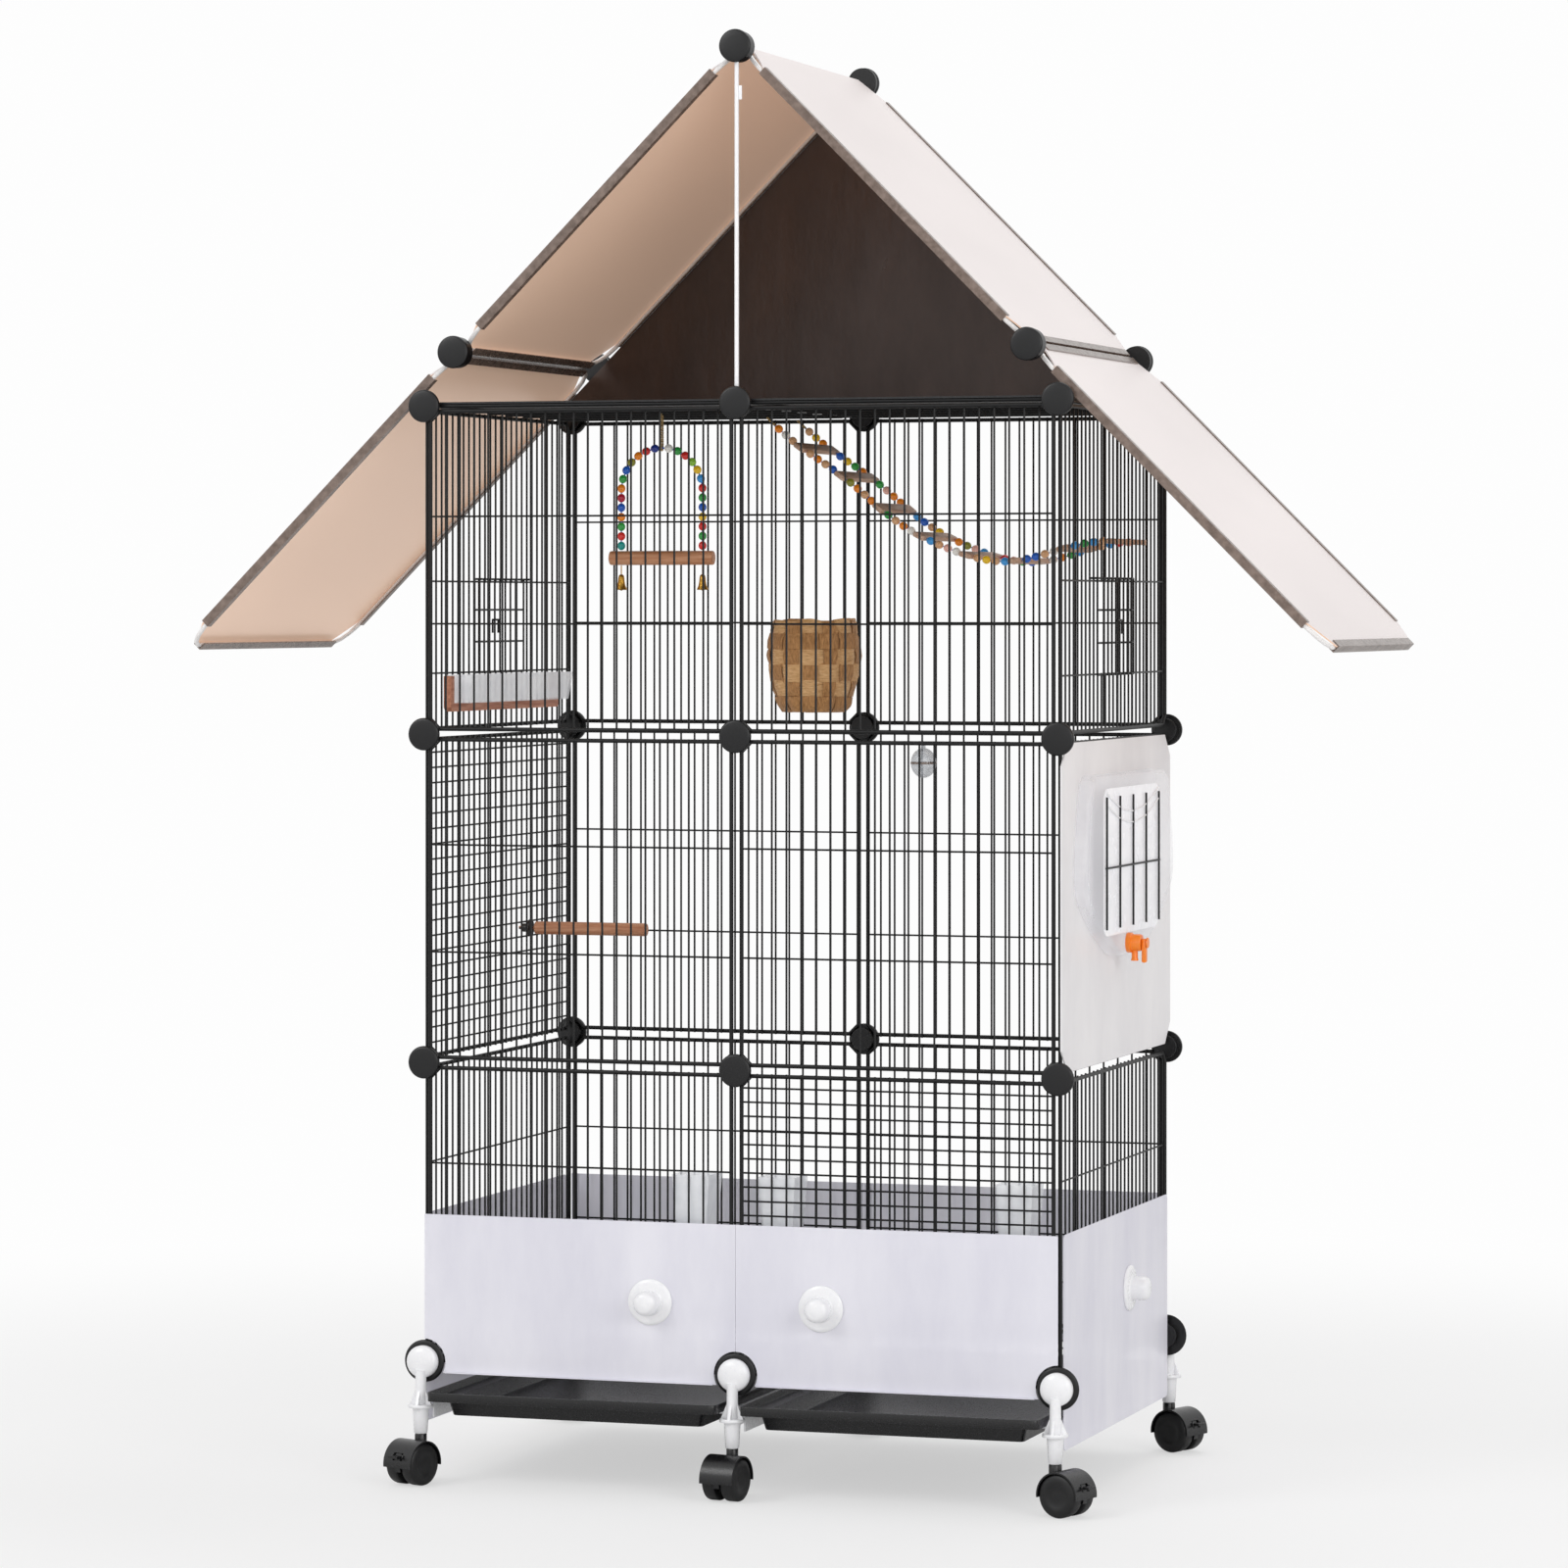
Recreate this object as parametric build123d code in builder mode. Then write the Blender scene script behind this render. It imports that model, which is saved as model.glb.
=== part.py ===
from build123d import *
from math import cos, pi, radians, sin, sqrt, tan
import os

os.makedirs("parts", exist_ok=True)

# Bird cage on castors, in mm. X runs right, Y back and Z up, with the floor at Z 0.

# Wire panels and the lattice that they hang on.
square_panel = 350
deep_panel = 450
base_panel_height = 318
panel_gap = 7
floor_height = 131
frame_wire = 4.5
bar_wire = 2.3
bar_count = 20
deep_bar_count = 26
rail_count = 2
shelf_bar_count = 7
weld_gap = 0.05
fit_gap = 0.3

bay = square_panel + panel_gap
depth_pitch = deep_panel + panel_gap
front_y = -depth_pitch / 2
back_y = depth_pitch / 2
columns = (-bay, 0, bay)
bays = (-bay / 2, bay / 2)
low_z = floor_height + base_panel_height + panel_gap
mid_z = low_z + bay
shelf_z = mid_z + bay
bar_pitch = (square_panel - frame_wire) / (bar_count + 1)
deep_bar_pitch = (deep_panel - frame_wire) / (deep_bar_count + 1)
bar_depth = frame_wire / 2 + weld_gap + bar_wire

# Round plastic connectors. Their hubs sit between the cut corners of the panels.
hub_radius = 13.1
hub_sides = 8
cap_radius = 17.75
cap_sides = 10
cap_thickness = 6
cap_edge = 2.5
cap_edge_angle = 40
base_disc_radius = 23
base_disc_thickness = 3
corner_cut = sqrt(2) * (hub_radius + fit_gap) - panel_gap
hub_reach = (sqrt(2) - 1) * (hub_radius + fit_gap)
cap_back = frame_wire / 2 + fit_gap

# Gable roof with two awnings.
roof_angle = 45
roof_panel = 450
roof_wire = 5
roof_corner_cut = 22
roof_corner_ease = 8
roof_hub_radius = 17
roof_hub_reach = roof_corner_cut + panel_gap - roof_hub_radius - sqrt(2) * fit_gap
sheet_thickness = 1.5
sheet_gap = 0.3
sheet_corner_cut = 34
clip_wall = 1.2
clip_gap = 0.2
clip_leg = 8
clip_length = 380
gable_thickness = 1.5
gable_y = back_y - hub_reach - fit_gap - gable_thickness
roof_pitch = roof_panel + panel_gap
slope_run = cos(radians(roof_angle))
slope_rise = sin(radians(roof_angle))
clip_bottom = roof_wire / 2 + clip_gap + clip_wall
roof_seat = hub_radius + fit_gap + clip_bottom
ridge_z = shelf_z + (roof_seat + bay * slope_rise) / slope_run
roof_edge_x = roof_pitch * slope_run
mid_roof_z = ridge_z - roof_pitch * slope_rise

# Floor, shelf boards and centre post.
board_thickness = 2
post_radius = 2.5
post_sides = 8
board_top = shelf_z + frame_wire / 2 + weld_gap + board_thickness


def front_face(x, z):
    return Plane(origin=(x, front_y, z), x_dir=(1, 0, 0), z_dir=(0, -1, 0))


def back_face(x, z):
    return Plane(origin=(x, back_y, z), x_dir=(-1, 0, 0), z_dir=(0, 1, 0))


def side_face(side, z):
    return Plane(origin=(side * bay, 0, z), x_dir=(0, side, 0), z_dir=(side, 0, 0))


def roof_face(side, steps_down):
    # Centre plane of a roof frame, counted in half panels down from the ridge.
    down = steps_down * roof_pitch / 2
    origin = (side * down * slope_run, 0, ridge_z - down * slope_rise)
    return Plane(origin=origin, x_dir=(0, side, 0), z_dir=(side * slope_rise, 0, slope_run))


def row(count, pitch):
    return [(index - (count - 1) / 2) * pitch for index in range(count)]


def frame_loop(face, width, height):
    with BuildPart() as loop:
        with BuildSketch(face.offset(-frame_wire / 2)):
            Rectangle(width, height)
            chamfer(vertices(), corner_cut)
            offset(amount=-frame_wire, kind=Kind.INTERSECTION, mode=Mode.SUBTRACT)
        extrude(amount=frame_wire)
    return loop.part


def bars(face, spots, foot, length):
    # Bars welded to the inner side of a loop; foot is measured from the middle of the panel.
    origin = face.from_local_coords((0, foot, -frame_wire / 2 - weld_gap))
    with BuildPart() as bar_row:
        with BuildSketch(Plane(origin, x_dir=face.x_dir, z_dir=face.y_dir)):
            with Locations(*[(spot, 0) for spot in spots]):
                Polygon((-bar_wire / 2, 0), (bar_wire / 2, 0), (0, bar_wire), align=None)
        extrude(amount=length)
    return bar_row.part


def rails(face, width, heights):
    # Cross wires between the side wires of a loop, in front of its bars.
    rail_start = frame_wire + weld_gap - width / 2
    origin = face.from_local_coords((rail_start, 0, -frame_wire / 2))
    with BuildPart() as rail_row:
        with BuildSketch(Plane(origin, x_dir=face.y_dir, z_dir=face.x_dir)):
            with Locations(*[(height, 0) for height in heights]):
                Polygon((-bar_wire / 2, 0), (bar_wire / 2, 0), (0, bar_wire), align=None)
        extrude(amount=-2 * rail_start)
    return rail_row.part


def wire_panel(face, width, height, count, pitch, cross_wires):
    pieces = [frame_loop(face, width, height), bars(face, row(count, pitch), -height / 2, height)]
    pieces.append(rails(face, width, row(cross_wires, height / (cross_wires + 1))))
    return pieces


base_middle = (floor_height + low_z) / 2
low_middle = low_z + bay / 2
mid_middle = mid_z + bay / 2
mesh_count = bar_count

# Front and back walls. The base of the front's right bay is a close mesh.
front_pieces = []
for x in bays:
    for middle in (low_middle, mid_middle):
        front_pieces += wire_panel(
            front_face(x, middle), square_panel, square_panel, bar_count, bar_pitch, rail_count
        )
for x, cross_wires in ((bays[0], rail_count), (bays[1], mesh_count)):
    front_pieces += wire_panel(
        front_face(x, base_middle), square_panel, base_panel_height, bar_count, bar_pitch, cross_wires
    )
with BuildPart() as front_panels:
    add(front_pieces)

back_pieces = []
for x in bays:
    for middle, height in (
        (base_middle, base_panel_height),
        (low_middle, square_panel),
        (mid_middle, square_panel),
    ):
        back_pieces += wire_panel(
            back_face(x, middle), square_panel, height, bar_count, bar_pitch, rail_count
        )
with BuildPart() as back_panels:
    add(back_pieces)

# Side walls: plain panels, a mesh panel on the left and the two door panels.
side_pieces = []
for side, middle, height in (
    (-1, base_middle, base_panel_height),
    (1, base_middle, base_panel_height),
    (1, low_middle, square_panel),
):
    side_pieces += wire_panel(
        side_face(side, middle), deep_panel, height, deep_bar_count, deep_bar_pitch, rail_count
    )
with BuildPart() as side_panels:
    add(side_pieces)

mesh_pieces = wire_panel(
    side_face(-1, low_middle), deep_panel, square_panel, deep_bar_count, deep_bar_pitch, mesh_count
)
with BuildPart() as left_mesh_panel:
    add(mesh_pieces)

# A lift door slides up on the two posts beside its hole.
door_bar_count = 8
door_sill = 62.5
door_head = 163
door_wire = 2.4
door_overlap = 1.8
door_catch_width = 20
door_catch_height = 16
door_catch_rise = 53
door_post = (door_bar_count + 1) / 2 * deep_bar_pitch
door_rail = 3


def door_panel(side):
    face = side_face(side, mid_middle)
    spots = row(deep_bar_count, deep_bar_pitch)
    whole = [spot for spot in spots if abs(spot) > door_post - deep_bar_pitch / 2]
    split = [spot for spot in spots if abs(spot) < door_post - deep_bar_pitch / 2]
    bottom = -square_panel / 2
    sill_and_head = [bottom + door_sill, bottom + door_head]
    upper_length = square_panel - door_head - door_rail / 2
    return [
        frame_loop(face, deep_panel, square_panel),
        bars(face, whole, bottom, square_panel),
        bars(face, split, bottom, door_sill + door_rail / 2),
        bars(face, split, bottom + door_head - door_rail / 2, upper_length + door_rail),
        rails(face, deep_panel, sill_and_head),
    ]


left_door_pieces = door_panel(-1)
with BuildPart() as left_door_panel:
    add(left_door_pieces)

right_door_pieces = door_panel(1)
with BuildPart() as right_door_panel:
    add(right_door_pieces)


def lift_door(side):
    # Loop, bars on its outer side, two rails, a finger catch and a hook round each post.
    loop_width = 2 * (door_post + bar_wire / 2 + fit_gap + door_wire)
    loop_height = door_head + door_rail / 2 + fit_gap + door_wire - door_sill + door_overlap
    middle = mid_z + panel_gap / 2 + door_head + door_rail / 2 + fit_gap + door_wire - loop_height / 2
    face = side_face(side, middle).offset(fit_gap)
    front = face.offset(door_wire + weld_gap)
    half_width = loop_width / 2
    half_height = loop_height / 2
    with BuildPart() as door:
        with BuildSketch(face):
            Rectangle(loop_width, loop_height)
            Rectangle(loop_width - 2 * door_wire, loop_height - 2 * door_wire, mode=Mode.SUBTRACT)
        extrude(amount=door_wire)
        bar_foot = front.from_local_coords((0, -half_height, 0))
        with BuildSketch(Plane(bar_foot, x_dir=face.x_dir, z_dir=face.y_dir)):
            with Locations(*[(spot, 0) for spot in row(door_bar_count, deep_bar_pitch)]):
                Polygon((-bar_wire / 2, 0), (bar_wire / 2, 0), (0, -bar_wire), align=None)
        extrude(amount=loop_height)
        rail_start = door_wire + weld_gap - half_width
        rail_foot = face.from_local_coords((rail_start, 0, 0))
        with BuildSketch(Plane(rail_foot, x_dir=face.y_dir, z_dir=face.x_dir)):
            with Locations(*[(height, 0) for height in row(2, loop_height / 3)]):
                Polygon((-bar_wire / 2, bar_wire), (bar_wire / 2, bar_wire), (0, 0), align=None)
        extrude(amount=-2 * rail_start)
        catch_foot = (0, door_catch_rise - half_height, bar_wire + weld_gap)
        catch_face = Plane(front.from_local_coords(catch_foot), x_dir=face.x_dir, z_dir=face.z_dir)
        with BuildSketch(catch_face):
            Rectangle(door_catch_width, door_catch_height)
            with Locations((0, -door_wire)):
                Rectangle(door_catch_width - 2 * door_wire, door_catch_height, mode=Mode.SUBTRACT)
        extrude(amount=door_wire)
        hook_depth = bar_depth + fit_gap + fit_gap
        hook_foot = face.from_local_coords((0, half_height - door_wire, 0))
        hook_plane = Plane(hook_foot, x_dir=face.x_dir, z_dir=face.y_dir)
        for hand in (-1, 1):
            outer = hand * half_width
            inner = hand * (half_width - door_wire)
            tip = hand * (door_post - bar_wire / 2 - fit_gap)
            with BuildSketch(hook_plane):
                Polygon(
                    (outer, 0),
                    (outer, hook_depth + door_wire),
                    (tip, hook_depth + door_wire),
                    (tip, hook_depth),
                    (inner, hook_depth),
                    (inner, 0),
                    align=None,
                )
            extrude(amount=door_wire)
    return door.part


left_door_piece = lift_door(-1)
with BuildPart() as left_door:
    add(left_door_piece)

right_door_piece = lift_door(1)
with BuildPart() as right_door:
    add(right_door_piece)

# Floor panels have bars on the underside; shelf panels carry the boards of the attic.
shelf_bar_pitch = (deep_panel - frame_wire) / (shelf_bar_count + 1)
shelf_bar_length = square_panel - frame_wire
floor_pieces = []
shelf_pieces = []
for x in bays:
    floor_face = Plane(origin=(x, 0, floor_height), x_dir=(1, 0, 0), z_dir=(0, 0, 1))
    floor_pieces.append(frame_loop(floor_face, square_panel, deep_panel))
    floor_pieces.append(bars(floor_face, row(bar_count, bar_pitch), -deep_panel / 2, deep_panel))
    shelf_face = Plane(origin=(x, 0, shelf_z), x_dir=(0, 1, 0), z_dir=(0, 0, 1))
    shelf_pieces.append(frame_loop(shelf_face, deep_panel, square_panel))
    shelf_pieces.append(
        bars(shelf_face, row(shelf_bar_count, shelf_bar_pitch), -shelf_bar_length / 2, shelf_bar_length)
    )

with BuildPart() as floor_panels:
    add(floor_pieces)

with BuildPart() as shelf_frames:
    add(shelf_pieces)

# The boards end in front of the gable sheet, which stands behind them.
board_front = -deep_panel / 2
board_back = gable_y - fit_gap
with BuildPart() as shelf_boards:
    with BuildSketch(Plane.XY.offset(board_top - board_thickness)):
        with Locations(*[(x, (board_front + board_back) / 2) for x in bays]):
            Rectangle(square_panel, board_back - board_front)
        chamfer(vertices(), corner_cut)
    extrude(amount=board_thickness)

# Connectors.


def connector(face, radius, thickness, inner_radius, reach):
    with BuildPart() as piece:
        with BuildSketch(face.offset(-reach)):
            RegularPolygon(inner_radius, hub_sides, major_radius=False, rotation=180 / hub_sides)
        extrude(amount=reach + cap_back)
        with BuildSketch(face.offset(cap_back)):
            RegularPolygon(radius, cap_sides, rotation=180 / cap_sides)
        extrude(amount=thickness)
    return piece.part


def capped_connector(face, inner_radius, reach):
    with BuildPart() as piece:
        add(connector(face, cap_radius, cap_thickness - cap_edge, inner_radius, reach))
        with BuildSketch(face.offset(cap_back + cap_thickness - cap_edge)):
            RegularPolygon(cap_radius, cap_sides, rotation=180 / cap_sides)
        extrude(amount=cap_edge, taper=cap_edge_angle)
    return piece.part


corner_pieces = []
for x in columns:
    for z in (low_z, mid_z, shelf_z):
        corner_pieces.append(capped_connector(front_face(x, z), hub_radius, hub_reach))
        corner_pieces.append(capped_connector(back_face(x, z), hub_radius, hub_reach))
    for face in (front_face(x, floor_height), back_face(x, floor_height)):
        corner_pieces.append(
            connector(face, base_disc_radius, base_disc_thickness, hub_radius, hub_reach)
        )
with BuildPart() as corner_connectors:
    add(corner_pieces)

roof_hub_pieces = []
for x, z in ((0, ridge_z), (-roof_edge_x, mid_roof_z), (roof_edge_x, mid_roof_z)):
    roof_hub_pieces.append(capped_connector(front_face(x, z), roof_hub_radius, roof_hub_reach))
    roof_hub_pieces.append(capped_connector(back_face(x, z), roof_hub_radius, hub_reach))
with BuildPart() as roof_connectors:
    add(roof_hub_pieces)

# Roof: white wire frames, printed sheets on their outer side, and clip strips round the edges.
roof_faces = [roof_face(side, steps) for side in (-1, 1) for steps in (1, 3)]

with BuildPart() as roof_frames:
    for face in roof_faces:
        with BuildSketch(face.offset(-roof_wire / 2)) as loop_sketch:
            Rectangle(roof_panel, roof_panel)
            chamfer(loop_sketch.vertices(), roof_corner_cut)
            chamfer(loop_sketch.vertices(), roof_corner_ease)
            offset(amount=-roof_wire, kind=Kind.INTERSECTION, mode=Mode.SUBTRACT)
        extrude(amount=roof_wire)


def roof_sheet(face):
    with BuildPart() as sheet:
        with BuildSketch(face.offset(roof_wire / 2 + sheet_gap)):
            Rectangle(roof_panel, roof_panel)
            chamfer(vertices(), sheet_corner_cut)
        extrude(amount=sheet_thickness)
    return sheet.part


roof_sheets = [roof_sheet(face) for face in roof_faces]

with BuildPart() as left_roof_sheet:
    add(roof_sheets[0])

with BuildPart() as left_awning_sheet:
    add(roof_sheets[1])

with BuildPart() as right_roof_sheet:
    add(roof_sheets[2])

with BuildPart() as right_awning_sheet:
    add(roof_sheets[3])


def clip_strip(face, along, outward):
    # A U strip pushed over the sheet and the wire from the edge of the panel.
    start = face.origin + outward * (roof_panel / 2) - along * (clip_length / 2)
    section = Plane(start, x_dir=outward, z_dir=along)
    up = 1 if section.y_dir.dot(face.z_dir) > 0 else -1
    sheet_top = roof_wire / 2 + sheet_gap + sheet_thickness + clip_gap
    wire_bottom = -roof_wire / 2 - clip_gap
    back = clip_gap + clip_wall
    outline = [
        (-clip_leg, sheet_top + clip_wall),
        (back, sheet_top + clip_wall),
        (back, wire_bottom - clip_wall),
        (-clip_leg, wire_bottom - clip_wall),
        (-clip_leg, wire_bottom),
        (clip_gap, wire_bottom),
        (clip_gap, sheet_top),
        (-clip_leg, sheet_top),
    ]
    with BuildPart() as strip:
        with BuildSketch(section):
            Polygon(*[(across, up * height) for across, height in outline], align=None)
        extrude(amount=clip_length)
    return strip.part


clip_pieces = []
for side in (-1, 1):
    for steps in (1, 3):
        face = roof_face(side, steps)
        clip_pieces.append(clip_strip(face, face.y_dir, face.x_dir))
        clip_pieces.append(clip_strip(face, face.y_dir, -face.x_dir))
        clip_pieces.append(clip_strip(face, face.x_dir, -face.y_dir))
        if steps == 3:
            clip_pieces.append(clip_strip(face, face.x_dir, face.y_dir))
with BuildPart() as roof_clip_strips:
    add(clip_pieces)

# Sheet that closes the back of the attic, just inside the connectors.
gable_inset = (clip_bottom + fit_gap) / slope_run
gable_bottom = board_top + fit_gap
gable_half = bay - panel_gap / 2
gable_shoulder = ridge_z - gable_inset - gable_half * tan(radians(roof_angle))
with BuildPart() as gable_sheet:
    with BuildSketch(Plane(origin=(0, gable_y, 0), x_dir=(1, 0, 0), z_dir=(0, -1, 0))):
        Polygon(
            (-gable_half, gable_bottom),
            (gable_half, gable_bottom),
            (gable_half, gable_shoulder),
            (0, ridge_z - gable_inset),
            (-gable_half, gable_shoulder),
            align=None,
        )
    extrude(amount=-gable_thickness)

# White post that holds up the front of the ridge, with its hook tab.
post_y = front_y + 1
post_bottom = shelf_z + hub_radius + fit_gap
post_top = ridge_z - roof_hub_radius - fit_gap
tab_length = 15
tab_width = 3.4
tab_thickness = 1.5
tab_drop = 25
with BuildPart() as centre_post:
    with BuildSketch(Plane.XY.offset(post_bottom)):
        with Locations((0, post_y)):
            RegularPolygon(post_radius, post_sides)
    extrude(amount=post_top - post_bottom)
    with BuildSketch(Plane.XY.offset(post_top - tab_drop - tab_length)):
        with Locations((post_radius + weld_gap + tab_width / 2, post_y)):
            Rectangle(tab_width, tab_thickness)
    extrude(amount=tab_length)

# Legs: a ball in front of each base connector, a neck, a winged collar and a castor socket.
leg_offset = 14
ball_radius = 17.5
ball_sides = 10
ball_depth = 12
ball_edge = 5
ball_edge_angle = 38
neck_radius = 6.6
leg_sides = 6
neck_bottom = 100
collar_radius = 14
collar_sides = 8
collar_bottom = 82
collar_thickness = 3.5
fin_thickness = 3
socket_bottom = 54
socket_radius = 9.6
socket_taper = 4
stem_radius = 5.5
stem_clearance = 0.08
leg_y = depth_pitch / 2 + leg_offset
bore_radius = (stem_radius + stem_clearance) / cos(pi / leg_sides)


def front_leg():
    # A leg on the Z axis, with its ball towards the back where the connector's disc is.
    ball_y = leg_offset - cap_back - base_disc_thickness - fit_gap
    ball_plane = Plane(origin=(0, ball_y, floor_height), x_dir=(1, 0, 0), z_dir=(0, -1, 0))
    fin_bottom = collar_bottom + collar_thickness
    fin_reach = collar_radius * cos(pi / collar_sides) - fit_gap
    with BuildPart() as leg:
        with BuildSketch(ball_plane):
            RegularPolygon(ball_radius, ball_sides, rotation=180 / ball_sides)
        extrude(amount=ball_depth - ball_edge)
        with BuildSketch(ball_plane.offset(ball_depth - ball_edge)):
            RegularPolygon(ball_radius, ball_sides, rotation=180 / ball_sides)
        extrude(amount=ball_edge, taper=ball_edge_angle)
        with BuildSketch(Plane.XY.offset(neck_bottom + weld_gap)):
            RegularPolygon(neck_radius, leg_sides)
        extrude(amount=floor_height - neck_bottom - weld_gap - ball_radius / 2)
        with BuildSketch(Plane.XY.offset(collar_bottom)):
            RegularPolygon(collar_radius, collar_sides)
        extrude(amount=collar_thickness)
        with BuildSketch(Plane.XY.offset(fin_bottom)):
            RegularPolygon(neck_radius, leg_sides)
        extrude(amount=neck_bottom - fin_bottom)
        for fin_plane in (
            Plane(origin=(0, 0, 0), x_dir=(1, 0, 0), z_dir=(0, -1, 0)),
            Plane(origin=(0, 0, 0), x_dir=(0, 1, 0), z_dir=(1, 0, 0)),
        ):
            with BuildSketch(fin_plane.offset(-fin_thickness / 2)):
                Polygon(
                    (-fin_reach, fin_bottom),
                    (fin_reach, fin_bottom),
                    (neck_radius, neck_bottom),
                    (-neck_radius, neck_bottom),
                    align=None,
                )
            extrude(amount=fin_thickness)
        with BuildSketch(Plane.XY.offset(collar_bottom)):
            RegularPolygon(socket_radius, leg_sides)
        extrude(amount=socket_bottom - collar_bottom, taper=socket_taper)
        with BuildSketch(Plane.XY.offset(socket_bottom)):
            RegularPolygon(bore_radius, leg_sides)
        extrude(amount=collar_bottom - socket_bottom, mode=Mode.SUBTRACT)
    return leg.part


leg_form = front_leg()
leg_pieces = []
for x in columns:
    leg_pieces.append(leg_form.moved(Location((x, -leg_y, 0))))
    leg_pieces.append(leg_form.rotate(Axis.Z, 180).moved(Location((x, leg_y, 0))))
with BuildPart() as legs:
    add(leg_pieces)

# Twin-wheel castors. Each swivels on its stem and trails in its own direction.
wheel_radius = 23
wheel_sides = 16
wheel_width = 15
wheel_inner = 4.2
axle_radius = 2.5
axle_sides = 6
axle_clearance = 0.06
web_half = 3.6
castor_trail = 14
fender_gap = 0.5
fender_wall = 1.8
fender_half_width = 19.4
hood_neck_radius = 6.5
stem_end_gap = 2
lever_half_width = 6.2
lever_angle = 22
lever_reach = 8
lever_thickness = 2.4
lever_barrel = 1.3
lever_pin = 0.8
lever_pin_clearance = 0.06
lever_sides = 6
ear_thickness = 2
wheel_corner = wheel_radius / cos(pi / wheel_sides)
fender_inner = wheel_corner + fender_gap
fender_outer = fender_inner + fender_wall
axle_hole = (axle_radius + axle_clearance) / cos(pi / axle_sides)
lever_pivot = fender_outer + 0.1
lever_hole = (lever_pin + lever_pin_clearance) / cos(pi / lever_sides)
castor_headings = {
    "front_left": -110,
    "front_middle": -99,
    "front_right": -19,
    "back_right": -22,
    "back_middle": 99,
    "back_left": 110,
}
castor_places = {
    "front_left": (-bay, -leg_y),
    "front_middle": (0, -leg_y),
    "front_right": (bay, -leg_y),
    "back_right": (bay, leg_y),
    "back_middle": (0, leg_y),
    "back_left": (-bay, leg_y),
}
braked = ("front_left", "front_right", "back_right")


def castor_plane(name):
    # Upright plane through the wheel centre: X trails away from the stem, Y is up, Z is the axle.
    heading = radians(castor_headings[name])
    x, y = castor_places[name]
    trail = Vector(cos(heading), sin(heading), 0)
    centre = Vector(x, y, wheel_radius) + trail * castor_trail
    return Plane(centre, x_dir=trail, z_dir=trail.cross(Vector(0, 0, 1)))


def on_castor(name, sideways):
    return castor_plane(name).offset(sideways)


def lever_point():
    angle = radians(lever_angle)
    return (lever_pivot * cos(angle), lever_pivot * sin(angle))


def castor_hood(name):
    with BuildPart() as hood:
        with BuildSketch(on_castor(name, -fender_half_width)):
            RegularPolygon(fender_outer, wheel_sides, rotation=180 / wheel_sides)
            RegularPolygon(fender_inner, wheel_sides, rotation=180 / wheel_sides, mode=Mode.SUBTRACT)
            with Locations((0, -fender_outer / 2 - axle_radius)):
                Rectangle(3 * fender_outer, fender_outer, mode=Mode.SUBTRACT)
        extrude(amount=2 * fender_half_width)
        with BuildSketch(on_castor(name, -web_half)):
            RegularPolygon(fender_inner + fender_wall / 2, wheel_sides, rotation=180 / wheel_sides)
            with Locations((0, -fender_outer / 2 - 3 * axle_radius)):
                Rectangle(3 * fender_outer, fender_outer, mode=Mode.SUBTRACT)
        extrude(amount=2 * web_half)
        if name in braked:
            notch_half = lever_half_width + fit_gap
            with BuildSketch(on_castor(name, -notch_half)):
                with Locations(lever_point()):
                    Rectangle(4 * lever_barrel, 6 * lever_barrel, rotation=lever_angle)
            extrude(amount=2 * notch_half, mode=Mode.SUBTRACT)
            for hand in (-1, 1):
                with BuildSketch(on_castor(name, hand * notch_half)):
                    with Locations(lever_point()):
                        Rectangle(2 * lever_barrel, 3 * lever_barrel, rotation=lever_angle)
                extrude(amount=hand * ear_thickness)
            ear_reach = notch_half + ear_thickness
            with BuildSketch(on_castor(name, -ear_reach)):
                with Locations(lever_point()):
                    RegularPolygon(lever_hole, lever_sides)
            extrude(amount=2 * ear_reach, mode=Mode.SUBTRACT)
        with BuildSketch(on_castor(name, -web_half)):
            RegularPolygon(axle_hole, axle_sides)
        extrude(amount=2 * web_half, mode=Mode.SUBTRACT)
        neck_top = socket_bottom - fit_gap
        with BuildSketch(Plane.XY.offset(wheel_radius + fender_inner)):
            with Locations(castor_places[name]):
                RegularPolygon(hood_neck_radius, leg_sides)
        extrude(amount=neck_top - wheel_radius - fender_inner)
        with BuildSketch(Plane.XY.offset(neck_top)):
            with Locations(castor_places[name]):
                RegularPolygon(stem_radius, leg_sides)
        extrude(amount=collar_bottom - stem_end_gap - neck_top)
        neck_bottom_z = wheel_radius + sqrt(fender_inner**2 - castor_trail**2)
        with BuildSketch(Plane.XY.offset(neck_bottom_z)):
            with Locations(castor_places[name]):
                Rectangle(2 * hood_neck_radius, 2 * web_half, rotation=castor_headings[name])
        extrude(amount=neck_top - neck_bottom_z - fit_gap)
    return hood.part


def wheel_pair(name):
    with BuildPart() as pair:
        for hand in (-1, 1):
            with BuildSketch(on_castor(name, hand * wheel_inner)):
                RegularPolygon(wheel_corner, wheel_sides, rotation=180 / wheel_sides)
            extrude(amount=hand * wheel_width)
        with BuildSketch(on_castor(name, -wheel_inner)):
            RegularPolygon(axle_radius, axle_sides)
        extrude(amount=2 * wheel_inner)
    return pair.part


def brake_lever(name):
    pivot = lever_point()
    with BuildPart() as lever:
        with BuildSketch(on_castor(name, -lever_half_width)):
            with Locations(pivot):
                RegularPolygon(lever_barrel, lever_sides)
            with Locations((pivot[0] + lever_reach / 2, pivot[1])):
                Rectangle(lever_reach, lever_thickness)
        extrude(amount=2 * lever_half_width)
        pin_half = lever_half_width + ear_thickness
        with BuildSketch(on_castor(name, -pin_half)):
            with Locations(pivot):
                RegularPolygon(lever_pin, lever_sides)
        extrude(amount=2 * pin_half)
    return lever.part


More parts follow.
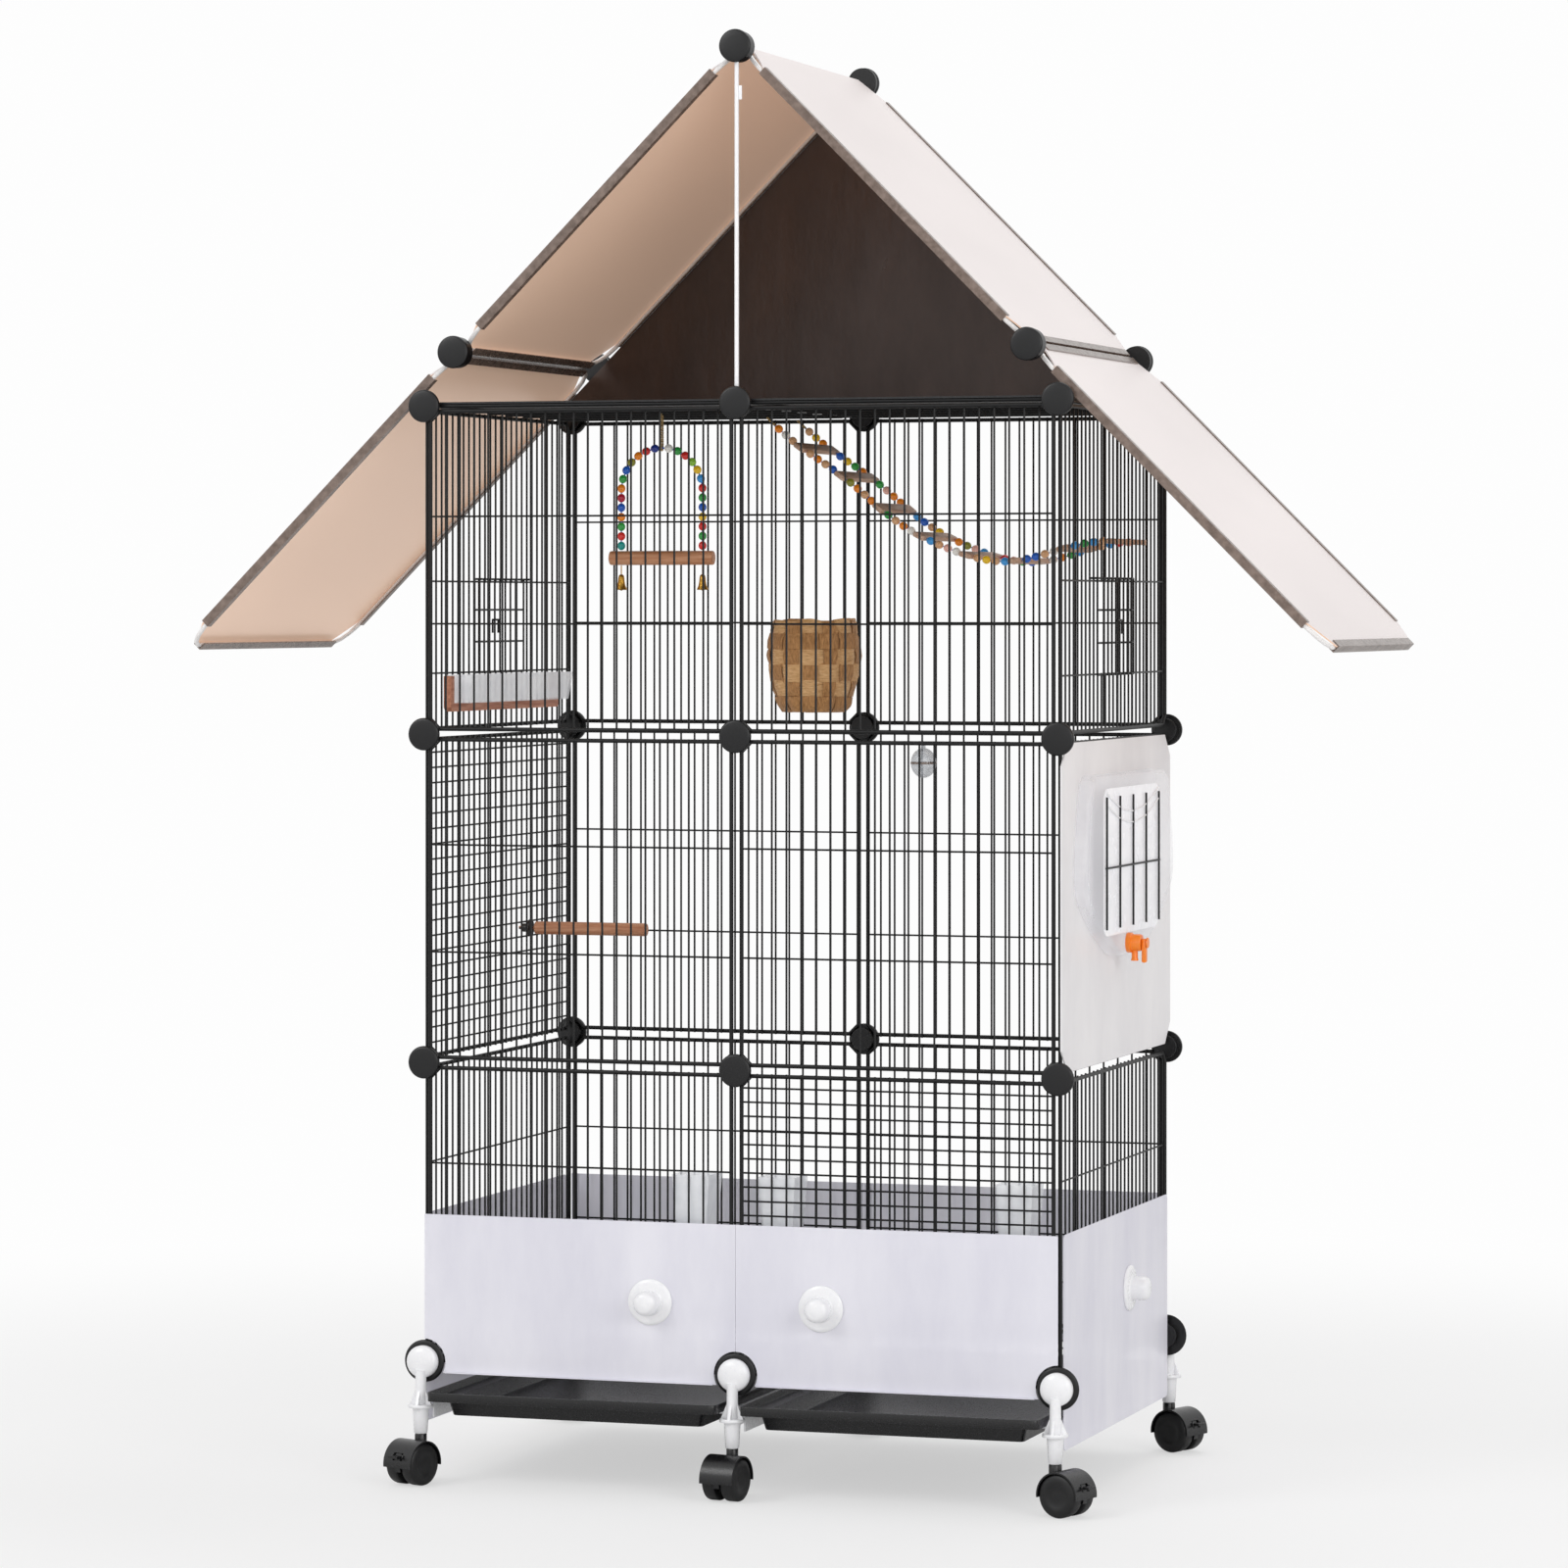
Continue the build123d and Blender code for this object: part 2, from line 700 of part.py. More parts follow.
castor_parts = {}
for name in castor_headings:
    castor_parts["castor_" + name] = castor_hood(name)
    castor_parts["wheels_" + name] = wheel_pair(name)
for name in braked:
    castor_parts["brake_lever_" + name] = brake_lever(name)

# Slide-out trays on white runners between the legs.
runner_side_gap = 9.8
runner_width = 10
runner_height = 20
runner_wall = 2
tray_side_gap = 13.2
tray_front = -262
tray_length = 500
tray_rim_bottom = 91
tray_rim_height = 10
tray_wall = 2
tray_flange = 18
tray_depth = 16.5
tray_taper = 14
pan_corner_cut = 8
tray_width = bay - 2 * tray_side_gap
tray_rim_top = tray_rim_bottom + tray_rim_height
pan_height = tray_rim_top - tray_rim_bottom + tray_depth


def tray_at(x):
    with BuildPart() as tray:
        with BuildSketch(Plane.XY.offset(tray_rim_bottom)):
            with Locations((x, tray_front + tray_length / 2)):
                Rectangle(tray_width, tray_length)
                inner_width = tray_width - 2 * tray_wall
                Rectangle(inner_width, tray_length - 2 * tray_wall, mode=Mode.SUBTRACT)
        extrude(amount=tray_rim_height)
        with BuildSketch(Plane.XY.offset(tray_rim_top - tray_wall)):
            with Locations((x, tray_front + tray_length / 2)):
                Rectangle(tray_width - tray_wall, tray_length - tray_wall)
        extrude(amount=tray_wall)
        with BuildSketch(Plane.XY.offset(tray_rim_top)) as mouth:
            with Locations((x, tray_front + tray_length / 2)):
                Rectangle(tray_width - 2 * tray_flange, tray_length - 2 * tray_flange)
            chamfer(mouth.vertices(), pan_corner_cut)
        extrude(amount=-pan_height, taper=tray_taper)
        with BuildSketch(Plane.XY.offset(tray_rim_top)) as hollow:
            with Locations((x, tray_front + tray_length / 2)):
                hollow_inset = 2 * tray_flange + 2 * tray_wall
                Rectangle(tray_width - hollow_inset, tray_length - hollow_inset)
            chamfer(hollow.vertices(), pan_corner_cut)
        extrude(amount=tray_wall - pan_height, taper=tray_taper, mode=Mode.SUBTRACT)
    return tray.part


trays = [tray_at(x) for x in bays]

with BuildPart() as left_tray:
    add(trays[0])

with BuildPart() as right_tray:
    add(trays[1])

runner_end = leg_y - sqrt(collar_radius**2 - runner_side_gap**2) - fit_gap
with BuildPart() as tray_runners:
    for x, hand in ((-bay, 1), (0, -1), (0, 1), (bay, -1)):
        runner_top = tray_rim_bottom - fit_gap
        runner_middle = hand * (runner_side_gap + runner_width / 2)
        runner_origin = (x, -runner_end, runner_top)
        with BuildSketch(Plane(origin=runner_origin, x_dir=(1, 0, 0), z_dir=(0, -1, 0))):
            with Locations((runner_middle, -runner_height / 2)):
                Rectangle(runner_width, runner_height)
            with Locations((runner_middle + hand * runner_wall, -runner_height / 2 - runner_wall)):
                Rectangle(runner_width, runner_height, mode=Mode.SUBTRACT)
        extrude(amount=-2 * runner_end)

# Clear spill guards outside the bottom tier, held by round knobs.
guard_thickness = 1
guard_bottom = 119
guard_top = 291
guard_lip = 6
guard_notch = 24.5
guard_inset = 2.5
side_guard_bottom = 64
side_guard_half = 221
knob_flange_radius = 25
knob_flange_thickness = 3.5
knob_boss_radius = 13.5
knob_height = 24
knob_sides = 10
knob_shank = 3
knob_shank_sides = 6
knob_plate_radius = 11
knob_plate_thickness = 3
knob_rise = 205
knob_cells = 5
side_knob_cells = 3
guard_back = cap_back
knob_hole = (knob_shank + fit_gap) / cos(pi / knob_shank_sides)
knob_x = bay / 2 - knob_cells * bar_pitch
knob_side_y = side_knob_cells * deep_bar_pitch


def wall_guard(face, hand):
    # A sheet over one bay of the base wall, notched round the leg connectors.
    width = bay - 2 * guard_inset
    middle = (guard_bottom + guard_top) / 2 - floor_height
    with BuildPart() as guard:
        with BuildSketch(face.offset(guard_back)):
            with Locations((0, middle)):
                Rectangle(width, guard_top - guard_bottom)
            with Locations((-bay / 2, 0), (bay / 2, 0)):
                RegularPolygon(guard_notch, leg_sides, major_radius=False, mode=Mode.SUBTRACT)
            with Locations((hand * knob_cells * bar_pitch, knob_rise - floor_height)):
                RegularPolygon(knob_hole, knob_shank_sides, mode=Mode.SUBTRACT)
        extrude(amount=guard_thickness)
        lip_width = bay - 2 * guard_notch
        with BuildSketch(face.offset(guard_back)):
            with Locations((0, guard_bottom + guard_thickness / 2 - floor_height)):
                Rectangle(lip_width, guard_thickness)
        extrude(amount=guard_lip)
    return guard.part


def side_guard(side):
    face = side_face(side, floor_height)
    with BuildPart() as guard:
        with BuildSketch(face.offset(guard_back)):
            with Locations((0, (side_guard_bottom + guard_top) / 2 - floor_height)):
                Rectangle(2 * side_guard_half, guard_top - side_guard_bottom)
            with Locations((side * knob_side_y, knob_rise - floor_height)):
                RegularPolygon(knob_hole, knob_shank_sides, mode=Mode.SUBTRACT)
        extrude(amount=guard_thickness)
    return guard.part


guard_pieces = []
for x, hand in ((bays[0], 1), (bays[1], -1)):
    guard_pieces.append(wall_guard(front_face(x, floor_height), hand))
    guard_pieces.append(wall_guard(back_face(x, floor_height), -hand))
guard_pieces.append(side_guard(-1))
guard_pieces.append(side_guard(1))
with BuildPart() as spill_guards:
    add(guard_pieces)


def guard_knob(face):
    flange_back = guard_back + guard_thickness + fit_gap
    plate_front = -bar_depth - fit_gap
    with BuildPart() as knob:
        with BuildSketch(face.offset(flange_back)):
            RegularPolygon(knob_flange_radius, knob_sides)
        extrude(amount=knob_flange_thickness)
        with BuildSketch(face.offset(flange_back + knob_flange_thickness)):
            RegularPolygon(knob_boss_radius, knob_sides)
        extrude(amount=knob_height - knob_flange_thickness)
        with BuildSketch(face.offset(plate_front)):
            RegularPolygon(knob_shank, knob_shank_sides)
        extrude(amount=flange_back - plate_front)
        with BuildSketch(face.offset(plate_front)):
            RegularPolygon(knob_plate_radius, knob_shank_sides)
        extrude(amount=-knob_plate_thickness)
    return knob.part


knob_pieces = []
for x in (-knob_x, knob_x):
    knob_pieces.append(guard_knob(front_face(x, knob_rise)))
    knob_pieces.append(guard_knob(back_face(x, knob_rise)))
for side in (-1, 1):
    knob_face = side_face(side, knob_rise)
    knob_origin = knob_face.from_local_coords((side * knob_side_y, 0, 0))
    knob_pieces.append(guard_knob(Plane(knob_origin, x_dir=knob_face.x_dir, z_dir=knob_face.z_dir)))
with BuildPart() as guard_knobs:
    add(knob_pieces)

# Grey sheet over the right wall of the second tier.
side_sheet_thickness = 1.5
side_sheet_half = 232
side_sheet_inset = 5
side_sheet_cut = 24
with BuildPart() as side_sheet:
    with BuildSketch(side_face(1, low_middle).offset(cap_back)):
        Rectangle(2 * side_sheet_half, bay - 2 * side_sheet_inset)
        chamfer(vertices(), side_sheet_cut)
    extrude(amount=side_sheet_thickness)

# Flat clear water tank on that sheet, its guard wires and its tap.
tank_top = 772
tank_shoulder_half = 163
tank_belly_half = 187
tank_belly_z = 668
tank_bottom = 574
tank_foot_half = 95
tank_foot_z = 592
tank_flat_half = 20
tank_bulge = 10
tank_depth = 16
tank_wall = 1.5
tank_x = bay + cap_back + side_sheet_thickness + fit_gap
guard_wire_count = 5
guard_wire_pitch = 56
guard_wire_top = 748
guard_wire_bottom = 606
guard_wire_rail = 76
tap_y = -22
tap_z = 588
tap_radius = 11
tap_length = 16
tap_sides = 12
tap_hub_radius = 6
spout_radius = 4
spout_length = 14
lever_width = 9
lever_depth = 5
lever_length = 26
tap_pin = 2
tap_pin_clearance = 0.06
tank_bend_half = (tank_belly_half + tank_foot_half) / 2 + tank_bulge
tank_bend_z = (tank_belly_z + tank_foot_z) / 2 - tank_bulge
tank_outline = [
    (-tank_shoulder_half, tank_top),
    (-tank_belly_half, tank_belly_z + tank_flat_half),
    (-tank_belly_half, tank_belly_z - tank_flat_half),
    (-tank_bend_half, tank_bend_z),
    (-tank_foot_half, tank_foot_z),
    (-tank_foot_half / 2, tank_bottom),
    (tank_foot_half / 2, tank_bottom),
    (tank_foot_half, tank_foot_z),
    (tank_bend_half, tank_bend_z),
    (tank_belly_half, tank_belly_z - tank_flat_half),
    (tank_belly_half, tank_belly_z + tank_flat_half),
    (tank_shoulder_half, tank_top),
]


def outward_plane(x):
    return Plane(origin=(x, 0, 0), x_dir=(0, 1, 0), z_dir=(1, 0, 0))


with BuildPart() as water_tank:
    with BuildSketch(outward_plane(tank_x)):
        Polygon(*tank_outline, align=None)
    extrude(amount=tank_wall)
    with BuildSketch(outward_plane(tank_x + tank_depth - tank_wall)):
        Polygon(*tank_outline, align=None)
    extrude(amount=tank_wall)
    with BuildSketch(outward_plane(tank_x + tank_wall + weld_gap)):
        Polygon(*tank_outline, align=None)
        offset(amount=-tank_wall, kind=Kind.INTERSECTION, mode=Mode.SUBTRACT)
        with Locations((0, tank_top)):
            Rectangle(2 * tank_belly_half, 3 * tank_wall, mode=Mode.SUBTRACT)
    extrude(amount=tank_depth - 2 * tank_wall - 2 * weld_gap)

tank_front = tank_x + tank_depth + weld_gap
with BuildPart() as tank_guard_wires:
    with BuildSketch(outward_plane(tank_front)):
        wire_middle = (guard_wire_top + guard_wire_bottom) / 2
        wire_spots = row(guard_wire_count, guard_wire_pitch)
        with Locations(*[(spot, wire_middle) for spot in wire_spots]):
            Rectangle(bar_wire, guard_wire_top - guard_wire_bottom)
        with Locations((0, guard_wire_top - guard_wire_rail)):
            Rectangle((guard_wire_count - 1) * guard_wire_pitch + 3 * bar_wire, bar_wire)
    extrude(amount=bar_wire)

tap_x = tank_x + tank_depth + fit_gap
with BuildPart() as tap_body:
    tap_plane = Plane(origin=(tap_x, tap_y, tap_z), x_dir=(0, 1, 0), z_dir=(1, 0, 0))
    with BuildSketch(tap_plane):
        RegularPolygon(tap_radius, tap_sides)
    extrude(amount=tap_length)
    with BuildSketch(tap_plane.offset(tap_length)):
        RegularPolygon(tap_pin, knob_shank_sides)
    extrude(amount=lever_depth + 2 * fit_gap)
    with BuildSketch(tap_plane.offset(tap_length + lever_depth + 2 * fit_gap)):
        RegularPolygon(tap_hub_radius, tap_sides)
    extrude(amount=tank_wall)
    with BuildSketch(Plane.XY.offset(tap_z - tap_radius / 2)):
        with Locations((tap_x + tap_length / 2, tap_y)):
            RegularPolygon(spout_radius, tap_sides)
    extrude(amount=-spout_length)

with BuildPart() as tap_lever:
    with BuildSketch(tap_plane.offset(tap_length + fit_gap)):
        with Locations((0, -lever_length / 2 + lever_width / 2)):
            Rectangle(lever_width, lever_length)
        chamfer(vertices(), lever_width / 4)
        pin_hole = (tap_pin + tap_pin_clearance) / cos(pi / knob_shank_sides)
        RegularPolygon(pin_hole, knob_shank_sides, mode=Mode.SUBTRACT)
    extrude(amount=lever_depth)

# Bead swing in the upper left bay. Its cord loop hangs over the middle bar of the shelf.
swing_x = -164.5
cord_size = 2.6
cord_corner = 2
bar_crown = 0.9
cord_play = 1.6
loop_play = 0.55
loop_drop = 41
arch_radius = 48
arch_wire = 0.8
bead_radius = 4.2
bead_length = 9.75
bead_pitch = 10.7
bead_sides = 5
arch_beads = 13
arch_gap = 2.9
seat_radius = 8
seat_sides = 12
seat_overhang = 13
bell_cord = 10
bell_radius = 6.5
bell_height = 19
bell_lip = 3
bell_slope = 17
bell_lip_slope = 30
bell_sides = 8
bar_middle = shelf_z - frame_wire / 2 - weld_gap - bar_crown
loop_inner_top = bar_middle + cord_play
arch_top = shelf_z - loop_drop
wire_play = 1.35
loop_inner_bottom = arch_top - wire_play
loop_middle = (loop_inner_top + loop_inner_bottom) / 2
loop_inner_height = loop_inner_top - loop_inner_bottom
loop_inner_width = bar_wire + 2 * loop_play
arch_centre = arch_top - arch_radius
quarter_arc = arch_radius * pi / 2

with BuildPart() as swing_loop:
    loop_origin = (swing_x - cord_size / 2, 0, loop_middle)
    loop_plane = Plane(origin=loop_origin, x_dir=(0, 1, 0), z_dir=(1, 0, 0))
    with BuildSketch(loop_plane):
        Rectangle(loop_inner_width + 2 * cord_size, loop_inner_height + 2 * cord_size)
        chamfer(vertices(), cord_corner)
        Rectangle(loop_inner_width, loop_inner_height, mode=Mode.SUBTRACT)
    extrude(amount=cord_size)

swing_plane = Plane(origin=(swing_x, 0, arch_centre), x_dir=(1, 0, 0), z_dir=(0, -1, 0))


def arch_point(hand, distance):
    # Place and heading of a point on the arch, measured along it from its top.
    if distance < quarter_arc:
        angle = distance / arch_radius
        spot = (hand * arch_radius * sin(angle), arch_radius * cos(angle))
        return spot, (hand * cos(angle), -sin(angle))
    return (hand * arch_radius, quarter_arc - distance), (0, -1)


def bead(origin, direction):
    upright = Vector(0, 1, 0)
    start = origin - direction * (bead_length / 2)
    with BuildPart() as piece:
        with BuildSketch(Plane(start, x_dir=upright, z_dir=direction)):
            RegularPolygon(bead_radius, bead_sides)
        extrude(amount=bead_length)
    return piece.part


swing_beads = []
for hand in (-1, 1):
    for index in range(arch_beads):
        spot, heading = arch_point(hand, arch_gap + bead_pitch / 2 + index * bead_pitch)
        bead_centre = swing_plane.from_local_coords((spot[0], spot[1], 0))
        swing_beads.append(bead(bead_centre, Vector(heading[0], 0, heading[1])))
arch_end = arch_gap + arch_beads * bead_pitch
seat_z = arch_centre + quarter_arc - arch_end - fit_gap - seat_radius
seat_half = arch_radius + seat_overhang
first_bead = arch_gap + (bead_pitch - bead_length) / 2
with BuildPart() as swing:
    add(swing_beads)
    wire_start = (swing_x - first_bead + weld_gap, 0, arch_top)
    with BuildSketch(Plane(origin=wire_start, x_dir=(0, 1, 0), z_dir=(1, 0, 0))):
        RegularPolygon(arch_wire, bead_sides)
    extrude(amount=2 * first_bead - 2 * weld_gap)
    seat_start = (swing_x - seat_half, 0, seat_z)
    with BuildSketch(Plane(origin=seat_start, x_dir=(0, 1, 0), z_dir=(1, 0, 0))):
        RegularPolygon(seat_radius, seat_sides)
    extrude(amount=2 * seat_half)


def bell(hand):
    bell_top = seat_z - seat_radius - fit_gap
    body_top = bell_top - bell_cord
    x = swing_x + hand * arch_radius
    with BuildPart() as piece:
        with BuildSketch(Plane.XY.offset(bell_top)):
            with Locations((x, 0)):
                RegularPolygon(arch_wire, bead_sides)
        extrude(amount=-bell_cord)
        with BuildSketch(Plane.XY.offset(body_top - bell_height + bell_lip)):
            with Locations((x, 0)):
                RegularPolygon(bell_radius, bell_sides)
        extrude(amount=bell_height - bell_lip, taper=bell_slope)
        with BuildSketch(Plane.XY.offset(body_top - bell_height + bell_lip)):
            with Locations((x, 0)):
                RegularPolygon(bell_radius, bell_sides)
        extrude(amount=-bell_lip, taper=bell_lip_slope)
    return piece.part


bells = [bell(-1), bell(1)]

with BuildPart() as left_bell:
    add(bells[0])

with BuildPart() as right_bell:
    add(bells[1])

# Bead ladder that sags from the shelf bars to the right wall.
ladder_y = 2 * shelf_bar_pitch
ladder_half = shelf_bar_pitch
slat_count = 8
slat_length = 134
slat_width = 14
slat_thickness = 6
beads_between = 4
beads_above = 3
ladder_gap = 0.4
ladder_cord = 1.5
ladder_end_x = bay - bar_depth - door_wire - 2 * fit_gap
ladder_step = slat_width + beads_between * bead_pitch + ladder_gap

with BuildLine(Plane.XZ) as ladder_line:
    Spline(
        (ladder_end_x, 1023),
        (285, 1016),
        (225, 1002),
        (148, 1018),
        (95, 1045),
        (35, 1093),
        (-22, 1132),
        (-60, 1165),
    )
ladder_path = ladder_line.edge()


def ladder_place(distance, y):
    fraction = distance / ladder_path.length
    point = ladder_path @ fraction
    heading = ladder_path % fraction
    return Vector(point.X, y, point.Z), heading


slat_pieces = []
ladder_bead_pieces = []
strands = (ladder_y - ladder_half, ladder_y + ladder_half)
for index in range(slat_count):
    slat_middle = slat_width / 2 + index * ladder_step
    centre, heading = ladder_place(slat_middle, ladder_y)
    slat_start = centre - heading * (slat_width / 2)
    with BuildPart() as slat:
        with BuildSketch(Plane(slat_start, x_dir=(0, 1, 0), z_dir=heading)):
            Rectangle(slat_length, slat_thickness)
        extrude(amount=slat_width)
    slat_pieces.append(slat.part)
    bead_total = beads_between if index < slat_count - 1 else beads_above
    for step in range(bead_total):
        reach = slat_middle + slat_width / 2 + ladder_gap + (step + 0.5) * bead_pitch
        for y in strands:
            spot, direction = ladder_place(reach, y)
            ladder_bead_pieces.append(bead(spot, direction))

with BuildPart() as ladder_slats:
    add(slat_pieces)

# Cord ties from the top beads of the ladder to the shelf bars.
tie_start = slat_width + (slat_count - 1) * ladder_step + beads_above * bead_pitch + 2 * ladder_gap
tie_top = shelf_z - frame_wire / 2 - weld_gap - bar_wire - fit_gap
for y in strands:
    foot, direction = ladder_place(tie_start, y)
    rise = (tie_top - ladder_cord - foot.Z) / direction.Z
    with BuildPart() as tie:
        with BuildSketch(Plane(foot, x_dir=(0, 1, 0), z_dir=direction)):
            RegularPolygon(ladder_cord, bead_sides)
        extrude(amount=rise)
    ladder_bead_pieces.append(tie.part)

with BuildPart() as ladder_beads:
    add(ladder_bead_pieces)

# Woven nest on the back wall.
nest_bar = 8.5
nest_bottom = 831
nest_height = 110
nest_radius = 59
nest_wall = 5
nest_sides = 14
nest_profile = ((0, 0.62), (0.3, 0.92), (0.62, 1), (1, 0.86))
nest_x = bays[0] + nest_bar * bar_pitch
nest_y = back_y - bar_depth - fit_gap - nest_radius
with BuildPart() as nest:
    for rise, share in nest_profile:
        with BuildSketch(Plane.XY.offset(nest_bottom + rise * nest_height)):
            with Locations((nest_x, nest_y)):
                RegularPolygon(share * nest_radius, nest_sides, rotation=180 / nest_sides)
    loft(ruled=True)
    for rise, share in nest_profile:
        lift = nest_wall * (1 - rise)
        with BuildSketch(Plane.XY.offset(nest_bottom + lift + rise * nest_height)):
            with Locations((nest_x, nest_y)):
                RegularPolygon(share * nest_radius - nest_wall, nest_sides, rotation=180 / nest_sides)
    loft(ruled=True, mode=Mode.SUBTRACT)

# Dowel perch in a cell of the left mesh panel, with its screw, washer and wing nut.
perch_radius = 7.5
perch_length = 135
perch_sides = 12
perch_cell_y = 6
perch_cell_z = -3
screw_radius = 2
screw_tail = 15
nut_radius = 10
nut_washer = 2
nut_height = 8
nut_boss = 5
wing_half = 13
wing_thickness = 2.4
mesh_rail_pitch = square_panel / (mesh_count + 1)
perch_y = perch_cell_y * deep_bar_pitch
perch_z = low_middle + perch_cell_z * mesh_rail_pitch
perch_start = -bay + bar_depth + fit_gap
perch_plane = Plane(origin=(perch_start, perch_y, perch_z), x_dir=(0, 1, 0), z_dir=(1, 0, 0))
with BuildPart() as perch:
    with BuildSketch(perch_plane):
        RegularPolygon(perch_radius, perch_sides)
    extrude(amount=perch_length)
    with BuildSketch(perch_plane.offset(-weld_gap)):
        RegularPolygon(screw_radius, bead_sides)
    extrude(amount=-(bar_depth + fit_gap + screw_tail - weld_gap))

nut_plane = Plane(origin=(-bay - fit_gap, perch_y, perch_z), x_dir=(0, 1, 0), z_dir=(-1, 0, 0))
with BuildPart() as perch_nut:
    with BuildSketch(nut_plane):
        RegularPolygon(nut_radius, perch_sides)
    extrude(amount=nut_washer)
    with BuildSketch(nut_plane.offset(nut_washer)):
        RegularPolygon(nut_boss, perch_sides)
        Rectangle(2 * wing_half, wing_thickness)
    extrude(amount=nut_height)
    with BuildSketch(nut_plane):
        RegularPolygon(screw_radius + fit_gap, bead_sides)
    extrude(amount=nut_washer + nut_height, mode=Mode.SUBTRACT)

# Seed trough below the left door, in its wooden cradle.
trough_front_y = -178
trough_back_y = 142
trough_depth = 30
trough_top = 877
trough_height = 31
trough_wall = 2
trough_taper = 8
cradle_size = 9
cradle_rise = 30
trough_x = -bay + bar_depth + fit_gap
trough_y = (trough_front_y + trough_back_y) / 2
trough_length = trough_back_y - trough_front_y
with BuildPart() as trough:
    with BuildSketch(Plane.XY.offset(trough_top)):
        with Locations((trough_x + trough_depth / 2, trough_y)):
            Rectangle(trough_depth, trough_length)
    extrude(amount=-trough_height, taper=trough_taper)
    with BuildSketch(Plane.XY.offset(trough_top)):
        with Locations((trough_x + trough_depth / 2, trough_y)):
            Rectangle(trough_depth - 2 * trough_wall, trough_length - 2 * trough_wall)
    extrude(amount=trough_wall - trough_height, taper=trough_taper, mode=Mode.SUBTRACT)

cradle_top = trough_top - trough_height - fit_gap
cradle_plane = Plane(origin=(trough_x, trough_y, cradle_top), x_dir=(0, 1, 0), z_dir=(1, 0, 0))
cradle_half = trough_length / 2 + fit_gap + cradle_size
with BuildPart() as trough_cradle:
    with BuildSketch(cradle_plane):
        Polygon(
            (-cradle_half, -cradle_size / 2),
            (-cradle_half + cradle_size / 2, -cradle_size),
            (cradle_half - cradle_size / 2, -cradle_size),
            (cradle_half, -cradle_size / 2),
            (cradle_half, cradle_rise),
            (cradle_half - cradle_size, cradle_rise),
            (cradle_half - cradle_size, 0),
            (-cradle_half + cradle_size, 0),
            (-cradle_half + cradle_size, cradle_rise),
            (-cradle_half, cradle_rise),
            align=None,
        )
    extrude(amount=cradle_size)

# Three clear feeder cups on the inside of the front wall.
cup_width = 42
cup_depth = 46
cup_height = 90
cup_top = 342
cup_wall = 1.6
cup_taper = 4
cup_places = (-54, 43, 306)
cup_y = front_y + bar_depth + fit_gap + cup_depth / 2


with BuildPart() as feeder_cups:
    for x in cup_places:
        with BuildSketch(Plane.XY.offset(cup_top)):
            with Locations((x, cup_y)):
                Rectangle(cup_width, cup_depth)
        extrude(amount=-cup_height, taper=cup_taper)
        with BuildSketch(Plane.XY.offset(cup_top)):
            with Locations((x, cup_y)):
                Rectangle(cup_width - 2 * cup_wall, cup_depth - 2 * cup_wall)
        extrude(amount=cup_wall - cup_height, taper=cup_taper, mode=Mode.SUBTRACT)

# Small clear treat ball clipped behind the front wall.
treat_bar = 1.5
treat_z = 786
treat_radius = 14
treat_belt = 10
treat_dome = 14
treat_slope = 34
treat_sides = 8
treat_x = bays[1] + treat_bar * bar_pitch
treat_y = front_y + bar_depth + fit_gap + treat_radius
with BuildPart() as treat_ball:
    for way in (-1, 1):
        with BuildSketch(Plane.XY.offset(treat_z)):
            with Locations((treat_x, treat_y)):
                RegularPolygon(treat_radius, treat_sides)
        extrude(amount=way * treat_belt / 2)
        with BuildSketch(Plane.XY.offset(treat_z + way * treat_belt / 2)):
            with Locations((treat_x, treat_y)):
                RegularPolygon(treat_radius, treat_sides)
        extrude(amount=way * treat_dome, taper=treat_slope)

# Labels and files.
named = {
    "front_panels": front_panels.part,
    "back_panels": back_panels.part,
    "side_panels": side_panels.part,
    "left_mesh_panel": left_mesh_panel.part,
    "left_door_panel": left_door_panel.part,
    "right_door_panel": right_door_panel.part,
    "left_door": left_door.part,
    "right_door": right_door.part,
    "floor_panels": floor_panels.part,
    "shelf_frames": shelf_frames.part,
    "shelf_boards": shelf_boards.part,
    "corner_connectors": corner_connectors.part,
    "roof_connectors": roof_connectors.part,
    "roof_frames": roof_frames.part,
    "left_roof_sheet": left_roof_sheet.part,
    "left_awning_sheet": left_awning_sheet.part,
    "right_roof_sheet": right_roof_sheet.part,
    "right_awning_sheet": right_awning_sheet.part,
    "roof_clip_strips": roof_clip_strips.part,
    "gable_sheet": gable_sheet.part,
    "centre_post": centre_post.part,
    "legs": legs.part,
    "left_tray": left_tray.part,
    "right_tray": right_tray.part,
    "tray_runners": tray_runners.part,
    "spill_guards": spill_guards.part,
    "guard_knobs": guard_knobs.part,
    "side_sheet": side_sheet.part,
    "water_tank": water_tank.part,
    "tank_guard_wires": tank_guard_wires.part,
    "tap_body": tap_body.part,
    "tap_lever": tap_lever.part,
    "swing_loop": swing_loop.part,
    "swing": swing.part,
    "left_bell": left_bell.part,
    "right_bell": right_bell.part,
    "ladder_slats": ladder_slats.part,
    "ladder_beads": ladder_beads.part,
    "nest": nest.part,
    "perch": perch.part,
    "perch_nut": perch_nut.part,
    "trough": trough.part,
    "trough_cradle": trough_cradle.part,
    "feeder_cups": feeder_cups.part,
    "treat_ball": treat_ball.part,
}
named.update(castor_parts)
for label, solid in named.items():
    solid.label = label
    export_step(solid, "parts/" + label + ".step")
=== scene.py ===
import random
from math import cos, pi, radians, sin, sqrt

import bmesh
import bpy
import numpy as np
from mathutils import Matrix, Vector, noise


